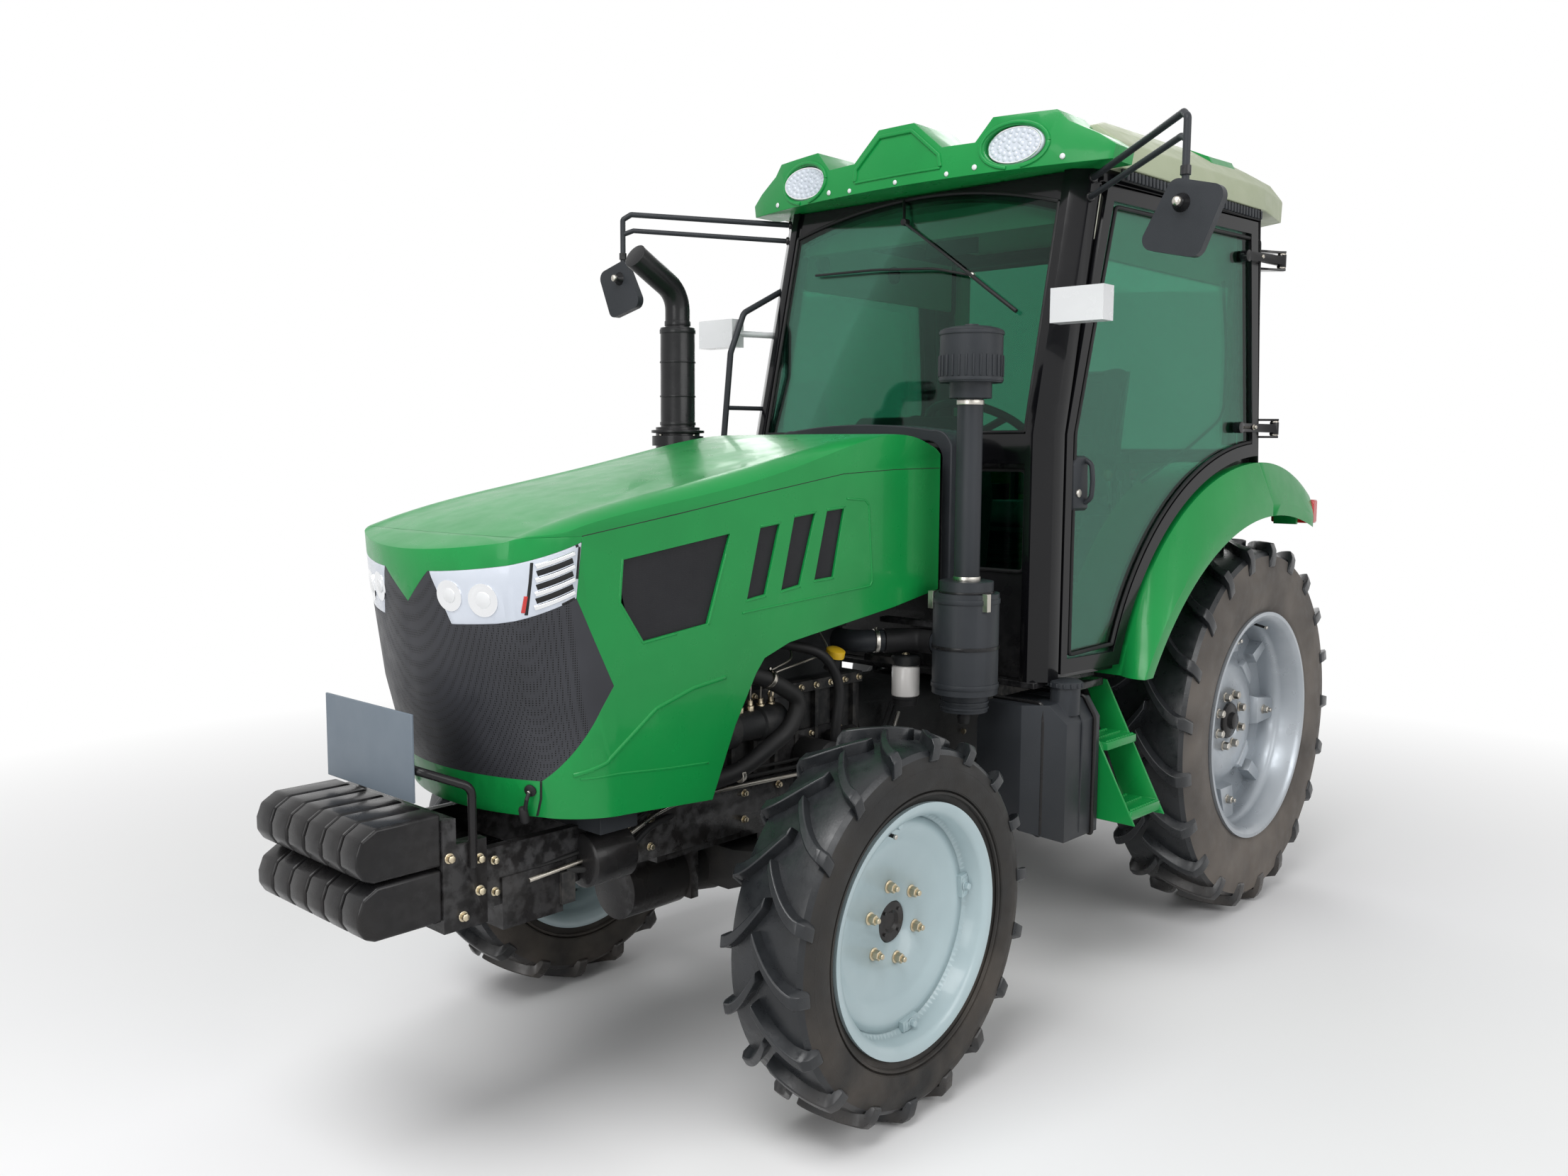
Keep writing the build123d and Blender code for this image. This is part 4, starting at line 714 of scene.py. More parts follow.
visor = Skin(("roof_visor",), "x", 1)
crest = piece("visor_rims", "chassis", "green white")
frame_line = ((-176, 2630), (-170, 2668), (-66, 2758), (66, 2758), (170, 2668), (176, 2630))
bead(crest, visor, frame_line, 16, 7, 0, 12)
bead(crest, visor, ((-176, 2626), (176, 2626)), 10, 5, 0, 12)
for out in (1, -1):
    bead(crest, visor, lamp_oval(out, 112, 68, 30), 14, 6, 0, 12, closed=True)
    for y in (300, 585):
        stud(crest, visor, out * y, 2612, [(0, 9), (3, 9), (5, 6), (5.5, 0.05)], 1, 16)
for y in (-200, 0, 200):
    stud(crest, visor, y, 2604, [(0, 8), (3, 8), (5, 5), (5.5, 0.05)], 1, 16)
crest.done("green", 1.5, 2, 40)

lens = piece("roof_lamp_lenses", "chassis", "lamp chrome")
face = Skin(("roof_lamps",), "x", 1)
for out in (1, -1):
    for ring, (wide, tall, count) in enumerate(((82, 42, 22), (56, 28, 15), (28, 13, 8))):
        for y, z in lamp_oval(out, wide, tall, count, 180 * ring / count):
            stud(lens, face, y, z, [(-0.5, 8.5), (1.2, 7), (2.2, 4), (2.6, 0.05)], 0, 10)
    bead(lens, face, lamp_oval(out, 94, 52, 36), 5, 1.5, 1, 10, closed=True)
lens.done("lamp")


def roof_side(out, x, inset, z):
    """Point on the side of the roof, which runs in towards the front."""
    return P(x, out * (745 - 0.046 * (x - 150) - inset), z)


side_trim = piece("roof_side_trim", "chassis", "rubber green plastic")
for out in (1, -1):
    ribs = [((x, x + 13), (0, 12), (2556, 2586), 2) for x in range(170, 1090, 22)]
    for (x0, x1), (y0, y1), (z0, z1), mat in ribs + [((160, 1100), (9, 18), (2553, 2589), 0)]:
        outline = [(x0, y0), (x1, y0), (x1, y1), (x0, y1)]
        side_trim.prism(outline, lambda a, b: roof_side(out, a, b, z0), lambda a, b: roof_side(out, a, b, z1), mat)
side_trim.done("green", 3, 2)


def on_screen(y, z, off):
    """Point off the leaning windscreen."""
    return P(1376 - 0.2296 * (z - 1780) + off, y, z)


wiper = piece("windscreen_wiper", "chassis", "black rubber steel")
wiper.rod(on_screen(-43, 2496, 2), on_screen(-43, 2496, 28), 12, 0)
for path, radius, mat, steps, bend in (
    (((-65, 2575, 14), (-52, 2530, 16), (-43, 2496, 22), (105, 2398, 24), (270, 2287, 24)), 5, 0, 10, 20),
    (((250, 2301, 24), (330, 2245, 22), (452, 2160, 12)), 7, 1, 8, 10),
    (((-420, 2350, 8), (-150, 2345, 11), (110, 2325, 14), (270, 2287, 18)), 4.5, 1, 8, 30),
):
    wiper.tube([on_screen(*p) for p in path], radius, mat, steps, bend)
wiper.lathe([(0, 9), (12, 9), (14, 6)], on_screen(270, 2287, 14), (1, 0, 0.2), 2, 16)
wiper.done("plastic", 0.8)

seals = piece("window_seals", "chassis", "rubber")
SCREEN_HALF = 541
corners = [(-SCREEN_HALF, 2492), (-SCREEN_HALF, 1786), (SCREEN_HALF, 1786), (SCREEN_HALF, 2492)]
for first, second in zip(corners, corners[1:]):
    seals.tube([on_screen(*first, 1), on_screen(*second, 1)], 6, 0, 8)
arch = range(-SCREEN_HALF, SCREEN_HALF + 1, 60)
seals.tube([on_screen(y, 2494 + 84 * (1 - (y / SCREEN_HALF) ** 2), 1) for y in arch], 6, 0, 8)
for out in (1, -1):
    low_pane = ((256, 1356), (530, 1356), (530, 1670), (256, 1670), (256, 1356))
    seals.tube([P(1347, out * y, z) for y, z in low_pane], 6, 0, 8, 20)
rear_pane = ((-632, 1740), (632, 1740), (632, 2515), (-632, 2515), (-632, 1740))
seals.tube([P(-52 + 0.0804 * (z - 1734), y, z) for y, z in rear_pane], 6, 0, 8, 30)
seals.done("plastic")


def door_side(out, x, proud, z):
    """Point on the door's outer face, which runs in towards the front."""
    return P(x, out * (745 - 0.0915 * (x - 110) + proud), z)


FENDER_GAP = 985                # radius of the door's edge round the rear fender
DOOR_LEAN = 0.9958              # x is this much shorter than a length along the door
DOOR_FRONT = 110 + 1185 * DOOR_LEAN - 44
for hand, out in SIDES:
    handle = piece(f"{hand}_door_handle", f"{hand}_door", "plastic steel rubber")
    handle.prism([(1172, 1545), (1252, 1545), (1256, 1690), (1236, 1716), (1180, 1716)],
                 lambda a, b: door_side(out, a, -12, b), lambda a, b: door_side(out, a, 2, b), 0, 0.9)
    grip = ((0, 1570), (22, 1585), (26, 1640), (20, 1690), (0, 1702))
    handle.tube([door_side(out, 1190, *p) for p in grip], 8, 0, 12, 16)
    handle.lathe([(0, 13), (5, 13), (7, 10), (7.5, 0.05)], door_side(out, 1228, 1, 1600), (0, out, 0), 1, 20)
    for z in (1820, 2420):
        handle.lathe([(0, 19), (5, 19), (8, 14), (9, 0.05)], door_side(out, 269.8, 2, z), (0, out, 0), 1, 20)
        handle.bolt(P(200, out * 757, z + 2), (0.1, out, 0), 15, 1)
        for s in (1, -1):
            handle.lathe([(-1, 15), (3, 15), (7, 10), (9, 0.05)], P(60, out * 775, z + 22 * s), (0, 0, s), 1, 18)
    strut = ((300, -62, 2336), (262, -60, 2100), (262, -60, 1860), (520, -56, 1735), (790, -52, 1630))
    handle.tube([door_side(out, *p) for p in strut], 6, 2, 10, 60)
    handle.done("plastic", 1.0)

    glass_seal = piece(f"{hand}_door_seal", f"{hand}_door", "rubber")
    angles = [radians(a) for a in range(19, 88, 4)]
    loop = [(79 + FENDER_GAP * cos(a) * DOOR_LEAN, 788 + FENDER_GAP * sin(a)) for a in angles]
    loop += [(160, 2486), (DOOR_FRONT - 186, 2486), (DOOR_FRONT - 8, 1782), (DOOR_FRONT - 8, 1096), loop[0]]
    glass_seal.tube([door_side(out, x, -8, z) for x, z in loop], 6.5, 0, 8, 14)
    glass_seal.done("plastic")


# ---------------- seat and cab inside
VOXEL = 0.006
CLOTH_FRAMES = 20
SEAM_DEPTH, SEAM_SPREAD = 0.0055, 5


def settle(obj):
    """Makes the object's modifiers part of its mesh."""
    graph = bpy.context.evaluated_depsgraph_get()
    graph.update()
    made = bpy.data.meshes.new_from_object(obj.evaluated_get(graph))
    obj.modifiers.clear()
    obj.data = made


def cushion(name, outline, half, cap, seams, floor_z=None):
    """Padded form: a prism is remeshed, blown up as cloth, held to a cap, and given its sewn channels."""
    start = Piece(name, "chassis")
    start.slab(outline, -half, half)
    mesh = bpy.data.meshes.new(name)
    bmesh.ops.recalc_face_normals(start.bm, faces=start.bm.faces)
    bmesh.ops.bevel(start.bm, geom=start.bm.edges[:], offset=0.022, segments=3, profile=0.6, affect="EDGES")
    start.bm.to_mesh(mesh)
    start.bm.free()
    obj = link(name, mesh)
    voxels = obj.modifiers.new("remesh", "REMESH")
    voxels.mode, voxels.voxel_size = "VOXEL", VOXEL
    settle(obj)
    rest = [v.co.copy() for v in obj.data.vertices]
    cloth = obj.modifiers.new("swell", "CLOTH")
    cloth.settings.quality = 5
    cloth.settings.use_pressure = True
    cloth.settings.uniform_pressure_force = 4
    cloth.settings.effector_weights.gravity = 0
    cloth.point_cache.frame_start, cloth.point_cache.frame_end = 1, CLOTH_FRAMES
    for number in range(1, CLOTH_FRAMES + 1):
        bpy.context.scene.frame_set(number)
    settle(obj)
    bpy.context.scene.frame_set(1)
    for vertex, origin in zip(obj.data.vertices, rest):
        move = vertex.co - origin
        if move.length > cap / 1000:
            vertex.co = origin + move.normalized() * (cap / 1000)
        if floor_z:
            vertex.co.z = max(vertex.co.z, floor_z / 1000)
    smooth = obj.modifiers.new("round", "SUBSURF")
    smooth.levels = smooth.render_levels = 1
    settle(obj)
    normals = [n.vector.copy() for n in obj.data.vertex_normals]
    for vertex, normal in zip(obj.data.vertices, normals):
        near = min(seam(vertex.co) for seam in seams) * 1000
        vertex.co -= normal * (SEAM_DEPTH * exp(-(near / SEAM_SPREAD) ** 2))
    obj.data.materials.clear()
    obj.data.materials.append(M["seat_cloth"])
    dress(obj, "chassis", 0, angle=80, replaces=("seat",))


# A seam gives a point's distance from it; the cross seams run between the two long ones.
SEAM_Y = 0.135
LONG_SEAMS = [lambda p, s=s: abs(p.y - s * SEAM_Y) for s in (1, -1)]
cushion("seat_cushion", [(196, 1447), (622, 1447), (626, 1494), (590, 1526), (200, 1522)], 212, 18,
        LONG_SEAMS + [lambda p, x=x: max(abs(p.x - P(x, 0, 0).x), abs(p.y) - SEAM_Y) for x in (310, 410, 510)], 1443)
cushion("seat_backrest", [(196, 1552), (270, 1552), (145, 2068), (80, 2062)], 204, 16,
        LONG_SEAMS + [lambda p, z=z: max(abs(p.z - z), abs(p.y) - SEAM_Y) for z in (1.69, 1.8, 1.91, 2.0)])

inside = piece("seat_frame", "chassis", "plastic rubber steel")
inside.box((190, 630), (-205, 205), (1430, 1444), 0)
inside.slab([(176, 1500), (190, 1545), (72, 2050), (56, 2050), (160, 1500)], -190, 190, 0)
for k in range(7):
    inside.box((240, 570), (-180, 180), (1215 + k * 31, 1229 + k * 31), 1)
for out in (1, -1):
    inside.side_box(out, (215, 245), (212, 232), (1440, 1690), 0)
    inside.side_box(out, (190, 450), (216, 268), (1690, 1722), 0)
    inside.rod(P(300, out * 140, 1208), P(560, out * 140, 1208), 9, 2)
inside.done("plastic", 8, 3)

controls = piece("cab_controls", "chassis", "plastic rubber steel white red_lamp amber black")
for out, high in ((-1, 1660), (1, 1560)):
    console = [(150, 1205), (620, 1205), (620, high - 140), (560, high - 60), (150, high - 60)]
    controls.slab(console, out * 300, out * 412)
    for x, knob in ((280, 4), (380, 0), (470, 5)):
        lever = ((x, 350, high - 70), (x + 20, 350, high + 30), (x + 22, 346, high + 70))
        controls.tube([P(a, out * b, c) for a, b, c in lever], 6, 2, 10, 30)
        controls.lathe([(-16, 8), (-8, 15), (10, 17), (22, 13), (26, 0.05)], P(x + 24, out * 345, high + 82),
                       (0.1, 0, 1), knob, 18)
controls.tube([P(900, -120, 1125), P(860, -120, 1300), P(800, -110, 1440)], 9, 2, 12, 60)
controls.lathe([(-18, 9), (0, 22), (16, 24), (28, 14), (30, 0.05)], P(796, -110, 1452), (-0.2, 0, 1), 0, 20)
for y, wide in ((150, 60), (-150, 55), (-225, 40)):
    controls.tube([P(1120, y, 1300), P(1030, y, 1230), P(960, y, 1190)], 9, 6, 10, 30)
    controls.box((925, 985), (y - wide / 2, y + wide / 2), (1182, 1194), 1, -28)
for out in (1, -1):
    controls.tube([P(790, out * 40, 1740), P(800, out * 120, 1748), P(806, out * 175, 1756)], 5, 0, 10, 20)
    controls.lathe([(-14, 6), (-8, 9), (14, 9), (18, 5)], P(807, out * 180, 1757), (0, out, 0.1), 0, 14)
# Dials: a hood, a pale face, marks round it and a needle.
facing, up = Vector((-0.541, 0, 0.841)), Vector((0.841, 0, 0.541))
for y, radius in ((-118, 40), (0, 52), (118, 40)):
    spot = P(1160, y, 1812)
    controls.lathe([(-14, radius + 8), (6, radius + 8), (9, radius + 4), (4, radius), (4, 0.05)], spot, facing, 0, 36)
    controls.lathe([(4, radius - 2), (4.6, radius - 3), (4.6, 0.05)], spot, facing, 3, 36)
    mark, needle = spot + facing * 0.0056, spot + facing * 0.007
    for a in range(-120, 121, 30):
        way = (up * cos(radians(a)) + Vector((0, 1, 0)) * sin(radians(a))) / 1000
        controls.rod(mark + way * (radius - 12), mark + way * (radius - 5), 1.2, 0, 6)
    controls.rod(needle, needle + (up + Vector((0, 0.5, 0))) * (radius - 16) / 1400, 1.6, 4, 6)
    controls.lathe([(4, 6), (9, 5), (9.5, 0.05)], spot, facing, 0, 16)
controls.done("plastic", 3, 2)

lining = piece("cab_lining", "chassis", "liner rubber white plastic")
for out in (1, -1):
    lining.side_box(out, (150, 1150), (612, 630), (2330, 2520), 0)
    for x, r, h in ((1000, 36, 10), (560, 34, 12)):
        profile = [(0, r), (h, r), (h + 4, r - 6), (h, r - 14), (h, 0.05)]
        lining.lathe(profile, P(x, out * 612, 2440), (0, -out, 0), 1, 28)
    lining.side_box(out, (34, 104), (596, 622), (1760, 2520), 0)
lining.box((1110, 1160), (-560, 560), (2440, 2530), 0)
lining.rod(P(1110, -90, 2470), P(1096, -90, 2470), 34, 3, 28)
lining.box((1100, 1112), (-40, 170), (2390, 2490), 3)
lining.done("cream", 6, 3)

# ---------------- engine bay
bay = piece("engine_fittings", "chassis", "cast steel rubber filter_white yellow zinc black")
for out in (1, -1):
    for x in range(1740, 2540, 88):
        bay.side_box(out, (x, x + 14), (168, 188), (710, 1035), 0)
    bay.side_box(out, (1720, 2545), (168, 196), (1020, 1052), 0)
    for x in range(1740, 2540, 66):
        bay.bolt(P(x, out * 196, 1036), (0, out, 0), 15, 5)
    bay.side_box(out, (1745, 2515), (133, 150), (1190, 1214), 0)
    for x in range(1770, 2500, 120):
        bay.bolt(P(x, out * 110, 1211), UP, 16, 5)
    bay.side_box(out, (1800, 2090), (170, 184), (760, 905), 6)
    for x, z in ((1815, 775), (2075, 775), (1815, 890), (2075, 890), (1945, 890), (1945, 775)):
        bay.bolt(P(x, out * 184, z), (0, out, 0), 14, 5)
# Injection pump with its four pipes.
bay.lathe([(-130, 34), (-126, 50), (-40, 50), (-36, 42), (60, 42), (64, 54), (130, 54), (134, 30), (150, 28)],
          P(2260, 222, 965), PLUS_X, 0, 28)
for k in range(4):
    x, head_x = 2160 + k * 42, 1880 + k * 160
    bay.lathe([(0, 12), (14, 12), (16, 8), (30, 8)], P(x, 222, 1005), UP, 5, 12)
    bay.tube([P(x, 222, 1030), P(x, 226, 1100), P(head_x, 205, 1130), P(head_x, 120, 1225)], 3.6, 1, 8, 40)
    bay.lathe([(0, 10), (24, 10), (26, 7), (40, 7)], P(head_x, 118, 1205), (0, 0.1, 1), 5, 12)
# Fuel filter on its bracket.
fuel_filter = P(1637, 300, 948)
bay.lathe([(0, 30), (4, 38), (20, 40), (22, 44), (30, 44)], fuel_filter, UP, 2, 28)
bay.lathe([(30, 41), (34, 43), (118, 43), (126, 38)], fuel_filter, UP, 3, 32)
bay.lathe([(126, 44), (150, 46), (156, 40), (158, 0.05)], fuel_filter, UP, 0, 24)
bay.box((1600, 1680), (170, 300), (1078, 1098), 0)
bay.bolt(P(1637, 300, 1106), UP, 18, 5)
# Oil filter, filler and its cap.
bay.lathe([(0, 52), (6, 56), (110, 56), (118, 40), (120, 0.05)], P(1980, 184, 830), (0, 1, 0), 2, 28)
filler, filler_way = P(1920, 240, 1085), (0, 0.3, 1)
bay.lathe([(0, 24), (40, 20), (42, 28), (62, 28), (66, 20), (67, 0.05)], filler, filler_way, 0, 16)
bay.lathe([(42, 29), (62, 29), (67, 20), (68, 0.05)], filler, filler_way, 4, 18)
# Hoses and their clamps.
for path, radius, steps, bend in (
    (((2520, 120, 1180), (2420, 230, 1160), (2230, 282, 1100), (2110, 290, 1030), (2150, 290, 950), (2330, 262, 850),
      (2560, 250, 840), (2730, 220, 880)), 24, 16, 70),
    (((2110, 200, 1180), (2000, 282, 1150), (1940, 296, 1050), (1960, 290, 900), (1900, 240, 780)), 15, 14, 60),
    (((CLEANER_X, 392, 1150), (CLEANER_X, 330, 1150), (1700, 262, 1150)), 38, 18, 40),
):
    bay.tube([P(*p) for p in path], radius, 2, steps, bend)
for spot, way, r in (
    ((2230, 282, 1100), (0.9, 0, 0.5), 26), ((2330, 262, 850), (0.9, 0, -0.3), 26),
    ((2640, 235, 860), (1, 0, 0.1), 26), ((CLEANER_X, 425, 1150), (0, 1, 0), 36.5),
    ((CLEANER_X, 385, 1150), (0, 1, 0), 36), ((1720, 246, 1150), (-0.8, 0.55, 0), 36.5),
):
    bay.lathe([(-7, r - 2), (-6, r + 0.8), (6, r + 0.8), (7, r - 2)], P(*spot), way, 1, 28)
    bay.bolt(P(*spot) + Vector((0, 0, (r + 3) / 1000)), (0, 1, 0), 9, 1, False)
# Alternator, starter and its solenoid.
bay.lathe([(-70, 40), (-66, 62), (-20, 64), (-16, 58), (20, 58), (24, 64), (60, 62), (66, 40), (70, 20), (96, 20),
           (98, 42), (118, 42)], P(2440, 190, 1110), PLUS_X, 0, 30)
for y, z in around(14, 60):
    bay.box((2425, 2455), (190 + y - 3, 190 + y + 3), (1110 + z - 3, 1110 + z + 3), 1)
bay.lathe([(0, 44), (8, 50), (150, 50), (156, 40), (190, 36), (192, 0.05)], P(1760, 215, 800), PLUS_X, 0, 26)
bay.lathe([(0, 22), (6, 28), (110, 28), (114, 18)], P(1790, 222, 872), PLUS_X, 6, 20)
for x, r in ((2560, 62), (2566, 56)):
    bay.lathe([(-9, 50), (-8, r), (8, r), (9, 50)], P(x, 0, 1060), PLUS_X, 0, 28)
# Long pipes along the block, and hoses down to the pump in front.
for y, z, r, mat in ((232, 830, 6, 2), (246, 812, 6, 1), (216, 846, 5, 2)):
    run = ((1560, -30, 90), (1650, 0, 0), (2050, 0, -14), (2400, -4, -2), (2560, -30, -20), (2760, -20, -90),
           (2990, -30, -110))
    bay.tube([P(x, y + dy, z + dz) for x, dy, dz in run], r, mat, 10, 60)
bay.tube([P(2880, 214, 700), P(2760, 260, 690), P(2640, 240, 760), P(2520, 200, 760)], 9, 2, 10, 60)
bay.tube([P(2700, -214, 700), P(2640, -240, 760), P(2520, -200, 760)], 9, 2, 10, 60)
bay.lathe([(0, 62), (6, 68), (130, 68), (136, 58), (140, 0.05)], P(2700, 214, 712), PLUS_X, 6, 30)
bay.box((2860, 2900), (206, 226), (620, 700), 0)
# Exhaust side: manifold, turbo housing and a round cover.
bay.box((1812, 2450), (-226, -172), (1082, 1150), 0)
for x in range(1840, 2440, 150):
    bay.lathe([(0, 34), (50, 34)], P(x, -150, 1116), (0, -1, 0), 0, 20)
    for s in (-46, 46):
        bay.bolt(P(x + s, -226, 1136), (0, -1, 0), 15, 5)
bay.lathe([(-60, 60), (-40, 84), (20, 88), (40, 62), (46, 40), (90, 40)], P(1960, -250, 1190), PLUS_X, 0, 30)
bay.lathe([(0, 48), (8, 52), (120, 52), (126, 40)], P(2100, -180, 840), (0, -1, 0), 2, 26)
bay.done("cast", 2, 2)

# ---------------- air cleaner and exhaust
stack = piece("air_cleaner_trim", "chassis", "steel plastic black rubber")
for z, r, tall, mat in ((1036, 98, 14, 1), (1288, 98, 14, 1), (1150, 98, 10, 2), (1351, 38, 14, 0), (1868, 38, 14, 0),
                        (1312, 80, 8, 2), (1934, 92, 10, 1), (2066, 92, 9, 1)):
    stack.band(P(CLEANER_X, CLEANER_Y, z), UP, r, tall, mat)
for x, y in around(28, 93):
    stack.rod(P(CLEANER_X + x, CLEANER_Y + y, 1942), P(CLEANER_X + x, CLEANER_Y + y, 2002), 3.2, 1, 8)
for x, y in around(3, 101, 70):
    stack.box(*[(round(c - h), round(c + h)) for c, h in ((CLEANER_X + x, 9), (CLEANER_Y + y, 9), (1288, 26))], 0)
stack.lathe([(0, 90), (6, 84), (12, 60), (14, 22), (20, 20), (22, 0.05)], P(CLEANER_X, CLEANER_Y, 2073), UP, 1, 48)
for z in (985, 968):
    stack.lathe([(-4, 66), (-3, 73), (3, 73), (4, 66)], P(CLEANER_X, CLEANER_Y, z), UP, 1, 40)
stack.lathe([(0, 16), (18, 20), (40, 14), (42, 0.05)], P(CLEANER_X, CLEANER_Y, 915), UP, 3, 20)
stack.box((1590, 1630), (190, 408), (1196, 1212), 2)
stack.box((1600, 1620), (390, 408), (1060, 1212), 2)
for z, r, tall in ((1716, 72, 10), (1786, 84, 8), (1812, 56, 10), (2108, 56, 12), (2134, 40, 14), (1900, 56, 5),
                   (2010, 56, 5)):
    stack.band(P(PIPE_X, PIPE_Y, z), UP, r, tall, 2, 2.4, 44)
for x, y in around(4, 76):
    stack.bolt(P(PIPE_X + x, PIPE_Y + y, 1772), UP, 8, 0, False)
stack.done("plastic", 1.2, 2)

# ---------------- tank, tool box, steps
low = piece("tank_and_step_trim", "chassis", "plastic black green zinc")
belt = ((442, 622), (542, 596), (698, 534), (702, 900), (662, 962), (472, 962), (442, 900), (442, 622))
low.tube([P(1262, y, z) for y, z in belt], 4, 0, 8, 20)
low.lathe([(0, 52), (16, 52), (20, 46), (22, 0.05)], P(CAP_X, CAP_Y, 1006), UP, 0, 32)
for x, y in around(14, 52):
    low.rod(P(CAP_X + x, CAP_Y + y, 1007), P(CAP_X + x, CAP_Y + y, 1020), 4, 0, 8)
for x, y0, z0, y1 in ((1190, 704, 524, 664), (1400, 644, 550, 640)):
    strap = ((438, 616), (542, 590), (y0, z0), (y0, 902), (y1, 964), (468, 964))
    low.tube([P(x, y, z) for y, z in strap], 7, 1, 8, 14)
low.box((1176, 1464), (-696, -688), (560, 860), 0)
low.box((1300, 1340), (-702, -694), (840, 880), 1)
low.box((1160, 1480), (-693, -440), (852, 860), 1)
STEP_BACK, STEP_FRONT, STUD_COLUMNS = 950, 1140, 12
for out in (1, -1):
    for y0, y1, z in ((690, 815, 608), (610, 725, 814)):
        for k in range(STUD_COLUMNS):
            x = STEP_BACK + 14 + (STEP_FRONT - STEP_BACK - 28) * k / (STUD_COLUMNS - 1)
            for y in (y0 + 10, (y0 + y1) / 2, y1 - 10):
                low.lathe([(-2, 7), (3, 6), (5, 3.2), (5.4, 0.05)], P(x, out * y, z), UP, 2, 8)
    for y in (560, 600):
        low.bolt(P(STEP_FRONT + 8, out * y, 930), PLUS_X, 18, 3)
low.done("plastic", 1.5, 2)

# ---------------- mirrors, roof, rear
MIRROR_Y, MIRROR_Z, GLASS_SHARE = 1123, 2328, 0.86


def mirror_point(out, x, y, z):
    """Point on a mirror's glass, drawn in a little from the edge of its housing."""
    return P(x, out * (MIRROR_Y + (y - MIRROR_Y) * GLASS_SHARE), MIRROR_Z + (z - MIRROR_Z) * GLASS_SHARE)


mirror_trim = piece("mirror_trim", "chassis", "chrome steel black")
for out in (1, -1):
    mirror_trim.prism([(1090, 2434), (1240, 2394), (1167, 2221), (995, 2262)],
                      lambda a, b: mirror_point(out, 1549.4, a, b), lambda a, b: mirror_point(out, 1551, a, b), 0)
    mirror_trim.lathe([(-4, 26), (4, 24), (14, 16), (20, 15), (26, 9), (27, 0.05)], P(1575, out * 1117, 2366),
                      PLUS_X, 2, 24)
    mirror_trim.lathe([(0, 13), (8, 12), (12, 7), (13, 0.05)], P(1598, out * 1117, 2366), PLUS_X, 1, 18)
    for x, z in ((1158, 2561), (1172, 2502)):
        mirror_trim.lathe([(-10, 15), (10, 15), (12, 12)], P(x, out * 622, z), (0.6, out, 0), 2, 18)
    mirror_trim.lathe([(-12, 14), (12, 14)], P(1557, out * 1117, 2450), UP, 2, 16)
mirror_trim.done("steel", 1)

top = piece("roof_fittings", "chassis", "cream rubber plastic steel green")
ROOF_TOP = 2.7815               # metres; just under the top of the CAD box
top.rod(P(900, 330, 2690), P(900, 330, 2740), 16, 1, 20)
top.tube([P(900, 330, 2735), P(895, 330, 2781)], 3, 1, 8)
for y in (-420, -140, 140, 420):
    top.box((-52, -20), (y - 90, y + 90), (2600, 2650), 1)
    for z in range(2605, 2650, 9):
        top.box((-56, -50), (y - 84, y + 84), (z, z + 4), 2)
crown = Skin(("roof",), "z", 1)
for out in (1, -1):
    bead(top, crown, [(x, out * 606) for x in (232, 262, 392, 420)], 118, 17, 4, 12, sink=2)
    bead(top, crown, ((-120, out * 430), (880, out * 430)), 26, 7, 0, 25, sink=2)
for vert in top.bm.verts:
    vert.co.z = min(vert.co.z, ROOF_TOP)
top.done("cream", 4, 2)

tail = piece("rear_fittings", "chassis", "cast steel zinc rubber red_lamp amber black lamp")
for out in (1, -1):
    for y0, y1, mat in ((700, 752, 5), (650, 690, 4), (600, 640, 7)):
        tail.side_box(out, (-449, -445), (y0, y1), (1462, 1542), mat)
    for x, z in around(12, 1):
        tail.bolt(P(130 + 170 * x, out * 216, 730 + 190 * z), (0, out, 0), 18, 2)
    tail.lathe([(0, 118), (14, 118), (16, 104), (40, 100)], P(0, out * 215, REAR_AXLE_Z), (0, out, 0), 0, 36)
    for x, z in around(10, 105):
        tail.bolt(P(x, out * 229, REAR_AXLE_Z + z), (0, out, 0), 15, 2)
    for y, mat in ((60, 3), (116, 4)):
        coupling = P(-290, out * y, 905)
        tail.lathe([(0, 20), (26, 20), (28, 14), (46, 13), (47, 0.05)], coupling, MINUS_X, 1, 20)
        tail.lathe([(44, 19), (56, 19), (60, 12), (61, 0.05)], coupling, MINUS_X, mat, 20)
for y, z in around(10, 1):
    tail.bolt(P(-290, 150 * y, 730 + z * (150 if abs(z) < 0.9 else 130)), MINUS_X, 17, 2)
for y, z in around(8, 1):
    tail.bolt(P(1148, 180 * y, 770 + 170 * z), MINUS_X, 16, 2)
tail.done("cast", 1.2, 2)

back_wall = Skin(("inner_walls",), "x", -1)
pressed = piece("rear_wall_pressings", "chassis", "green plastic")
bead(pressed, back_wall, ((-330, 1270), (330, 1270), (330, 1620), (-330, 1620)), 16, 5, 0, 20, closed=True)
for y in (-165, 0, 165):
    bead(pressed, back_wall, ((y, 1310), (y, 1580)), 26, 6, 0, 20)
for y in (-380, 380):
    for z in (1250, 1440, 1640):
        found = back_wall.at(y, z)
        if found:
            pressed.bolt(*found, 16, 1)
stud(pressed, back_wall, 250, 1235, [(0, 30), (22, 28), (26, 24), (27, 0.05)], 1, 28)
pressed.done("green", 1.5, 2)

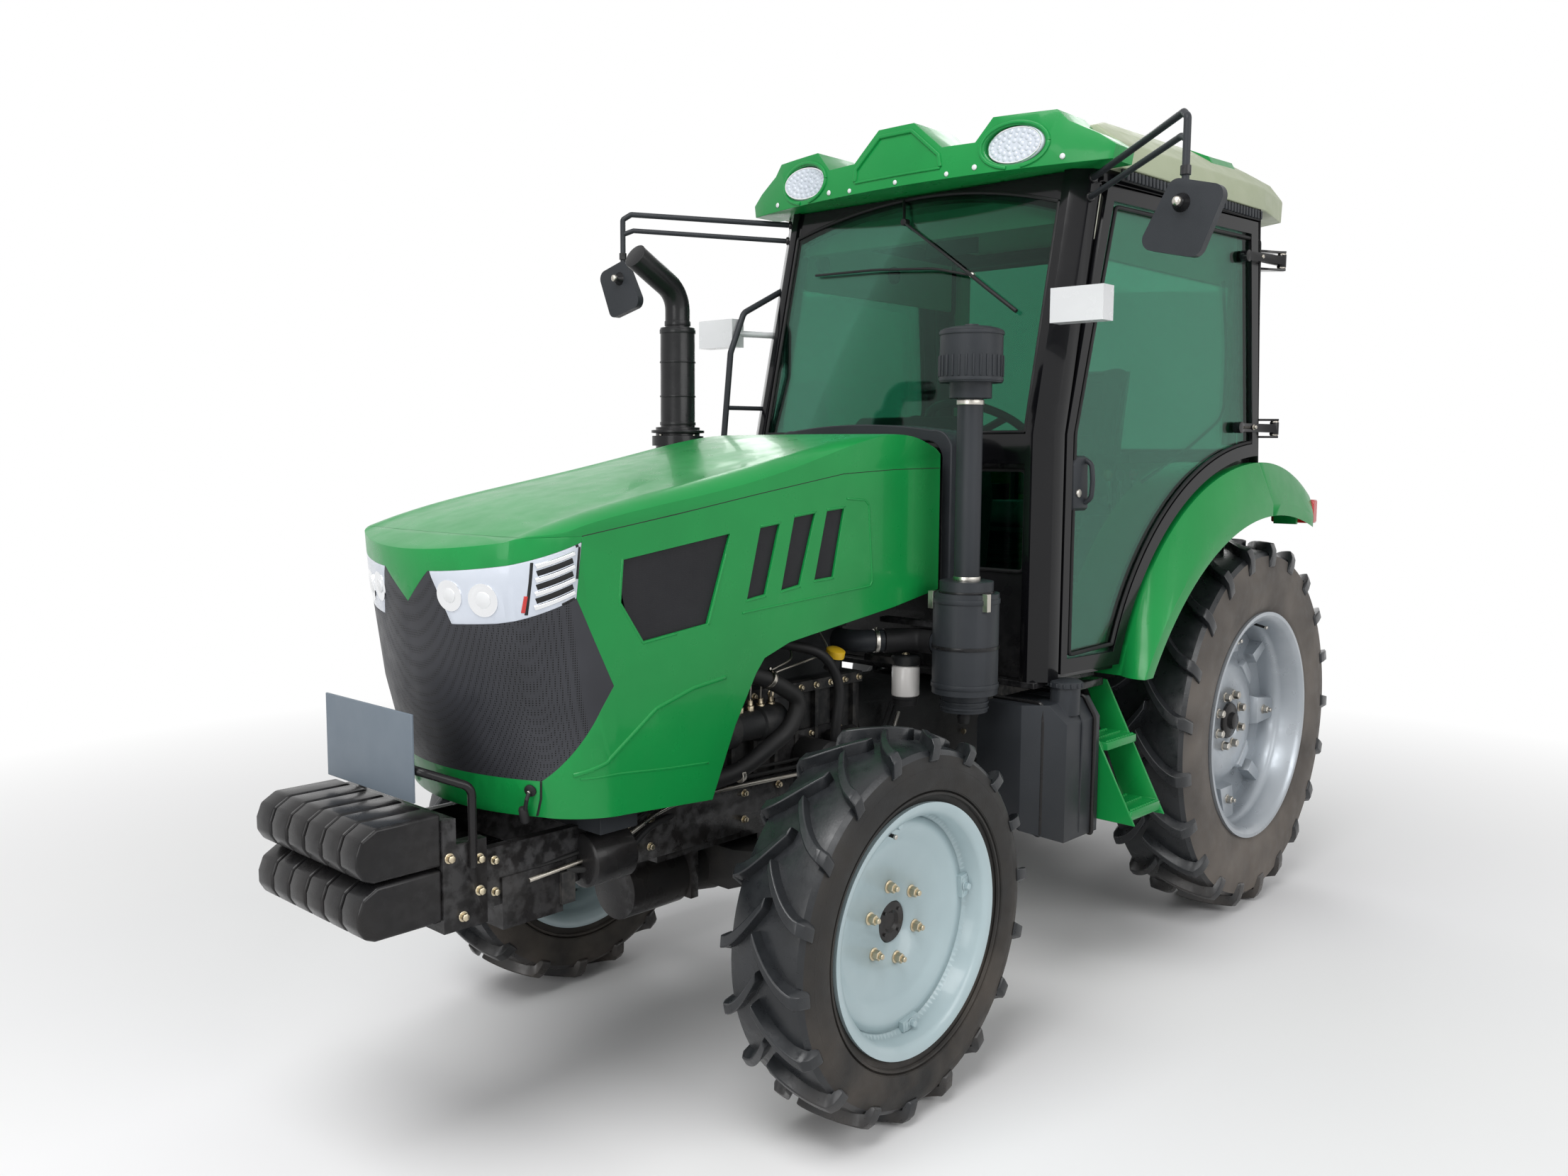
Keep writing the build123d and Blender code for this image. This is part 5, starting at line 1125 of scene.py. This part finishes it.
core = piece("radiator_core", "chassis", "black steel plastic")
for k in range(44):
    core.box((2829, 2833), (-262, 262), (838 + k * 11.2, 841 + k * 11.2), 0)
for k in range(13):
    core.box((2829, 2834), (-258 + k * 42.4, -254 + k * 42.4), (834, 1330), 1)
for z in (815, 1360):
    core.box((2716, 2834), (-292, 292), (z - 22, z + 26), 2)
core.lathe([(0, 30), (10, 30), (13, 24), (14, 0.05)], P(2775, 150, 1386), UP, 1, 24)
core.done("black", 1, 1)

# Bolts of the front weights and their carrier.
front_end = piece("front_end_bolts", "chassis", "zinc")
for out in (1, -1):
    for x, z in ((3218, 812), (3140, 795), (3140, 720), (3185, 670)):
        front_end.bolt(P(x, out * 235, z), (0, out, 0), 19)
    for x in (1700, 1790, 2110, 2250, 2600, 2680, 3080):
        for z in (770, 695):
            front_end.bolt(P(x, out * 206, z), (0, out, 0), 17)
front_end.done("black", 0.8, 1)


# ---------------- floor and light
def seen_straight(nodes):
    """One for rays that see a surface directly, in a mirror image or through glass; else zero."""
    rays = nodes.new("ShaderNodeLightPath").outputs
    direct = nodes.maths("MAXIMUM", rays["Is Camera Ray"], rays["Is Glossy Ray"])
    return nodes.maths("MAXIMUM", direct, rays["Is Transmission Ray"])


FLOOR_HALF = 30
floor = link("floor", bpy.data.meshes.new("floor"))
corners = [(a * FLOOR_HALF, b * FLOOR_HALF, 0) for a, b in ((-1, -1), (1, -1), (1, 1), (-1, 1))]
floor.data.from_pydata(corners, [], [(0, 1, 2, 3)])
floor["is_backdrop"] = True
# Away from the tractor the floor fades into the white backdrop.
n = Nodes("floor")
pale = n.new("ShaderNodeBsdfPrincipled", Roughness=0.8,
             Base_Color=n.blend(n.patches(0.6, 3.0), (0.86, 0.86, 0.86), (0.84, 0.84, 0.85)))
pale.inputs["Specular IOR Level"].default_value = 0.15
away = n.new("ShaderNodeVectorMath")
away.operation = "LENGTH"
n.put(away.inputs[0], n.place)
fade = n.maths("MULTIPLY", n.span(away.outputs["Value"], 2.2, 5.5), seen_straight(n))
floor.data.materials.append(n.close(n.mix(fade, pale, n.new("ShaderNodeEmission", Color=(1, 1, 1), Strength=1.0))))

# The backdrop is white to look at, and a dimmer light on the part.
world = bpy.data.worlds.new("studio")
bpy.context.scene.world = world
w = Nodes("studio", world)
dim, bright = (w.new("ShaderNodeBackground", Color=(1, 1, 1), Strength=s) for s in (0.34, 1.0))
w.close(w.mix(seen_straight(w), dim, bright))


def soft_lamp(name, place, aim, size, power):
    lamp = link(name, bpy.data.lights.new(name, "AREA"))
    lamp.data.energy, lamp.data.shape = power, "RECTANGLE"
    lamp.data.size, lamp.data.size_y = size
    lamp.location = place
    lamp.rotation_mode = "QUATERNION"
    lamp.rotation_quaternion = (Vector(aim) - Vector(place)).to_track_quat("-Z", "Y")


soft_lamp("key", (4.5, 1.0, 6.5), (0, 0, 1), (5, 3), 330)
soft_lamp("side", (0.5, 7.0, 4.0), (0, 0, 1), (6, 3), 205)
soft_lamp("front", (7.5, 1.5, 2.2), (0.5, 0, 1), (3, 3), 110)
soft_lamp("back", (-6.0, -4.0, 5.0), (0, 0, 1), (5, 4), 180)

bpy.context.scene.view_settings.view_transform = "Standard"
visual_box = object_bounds()
sizes = {"cad": [list(corner) for corner in cad_box], "visual": [list(corner) for corner in visual_box]}
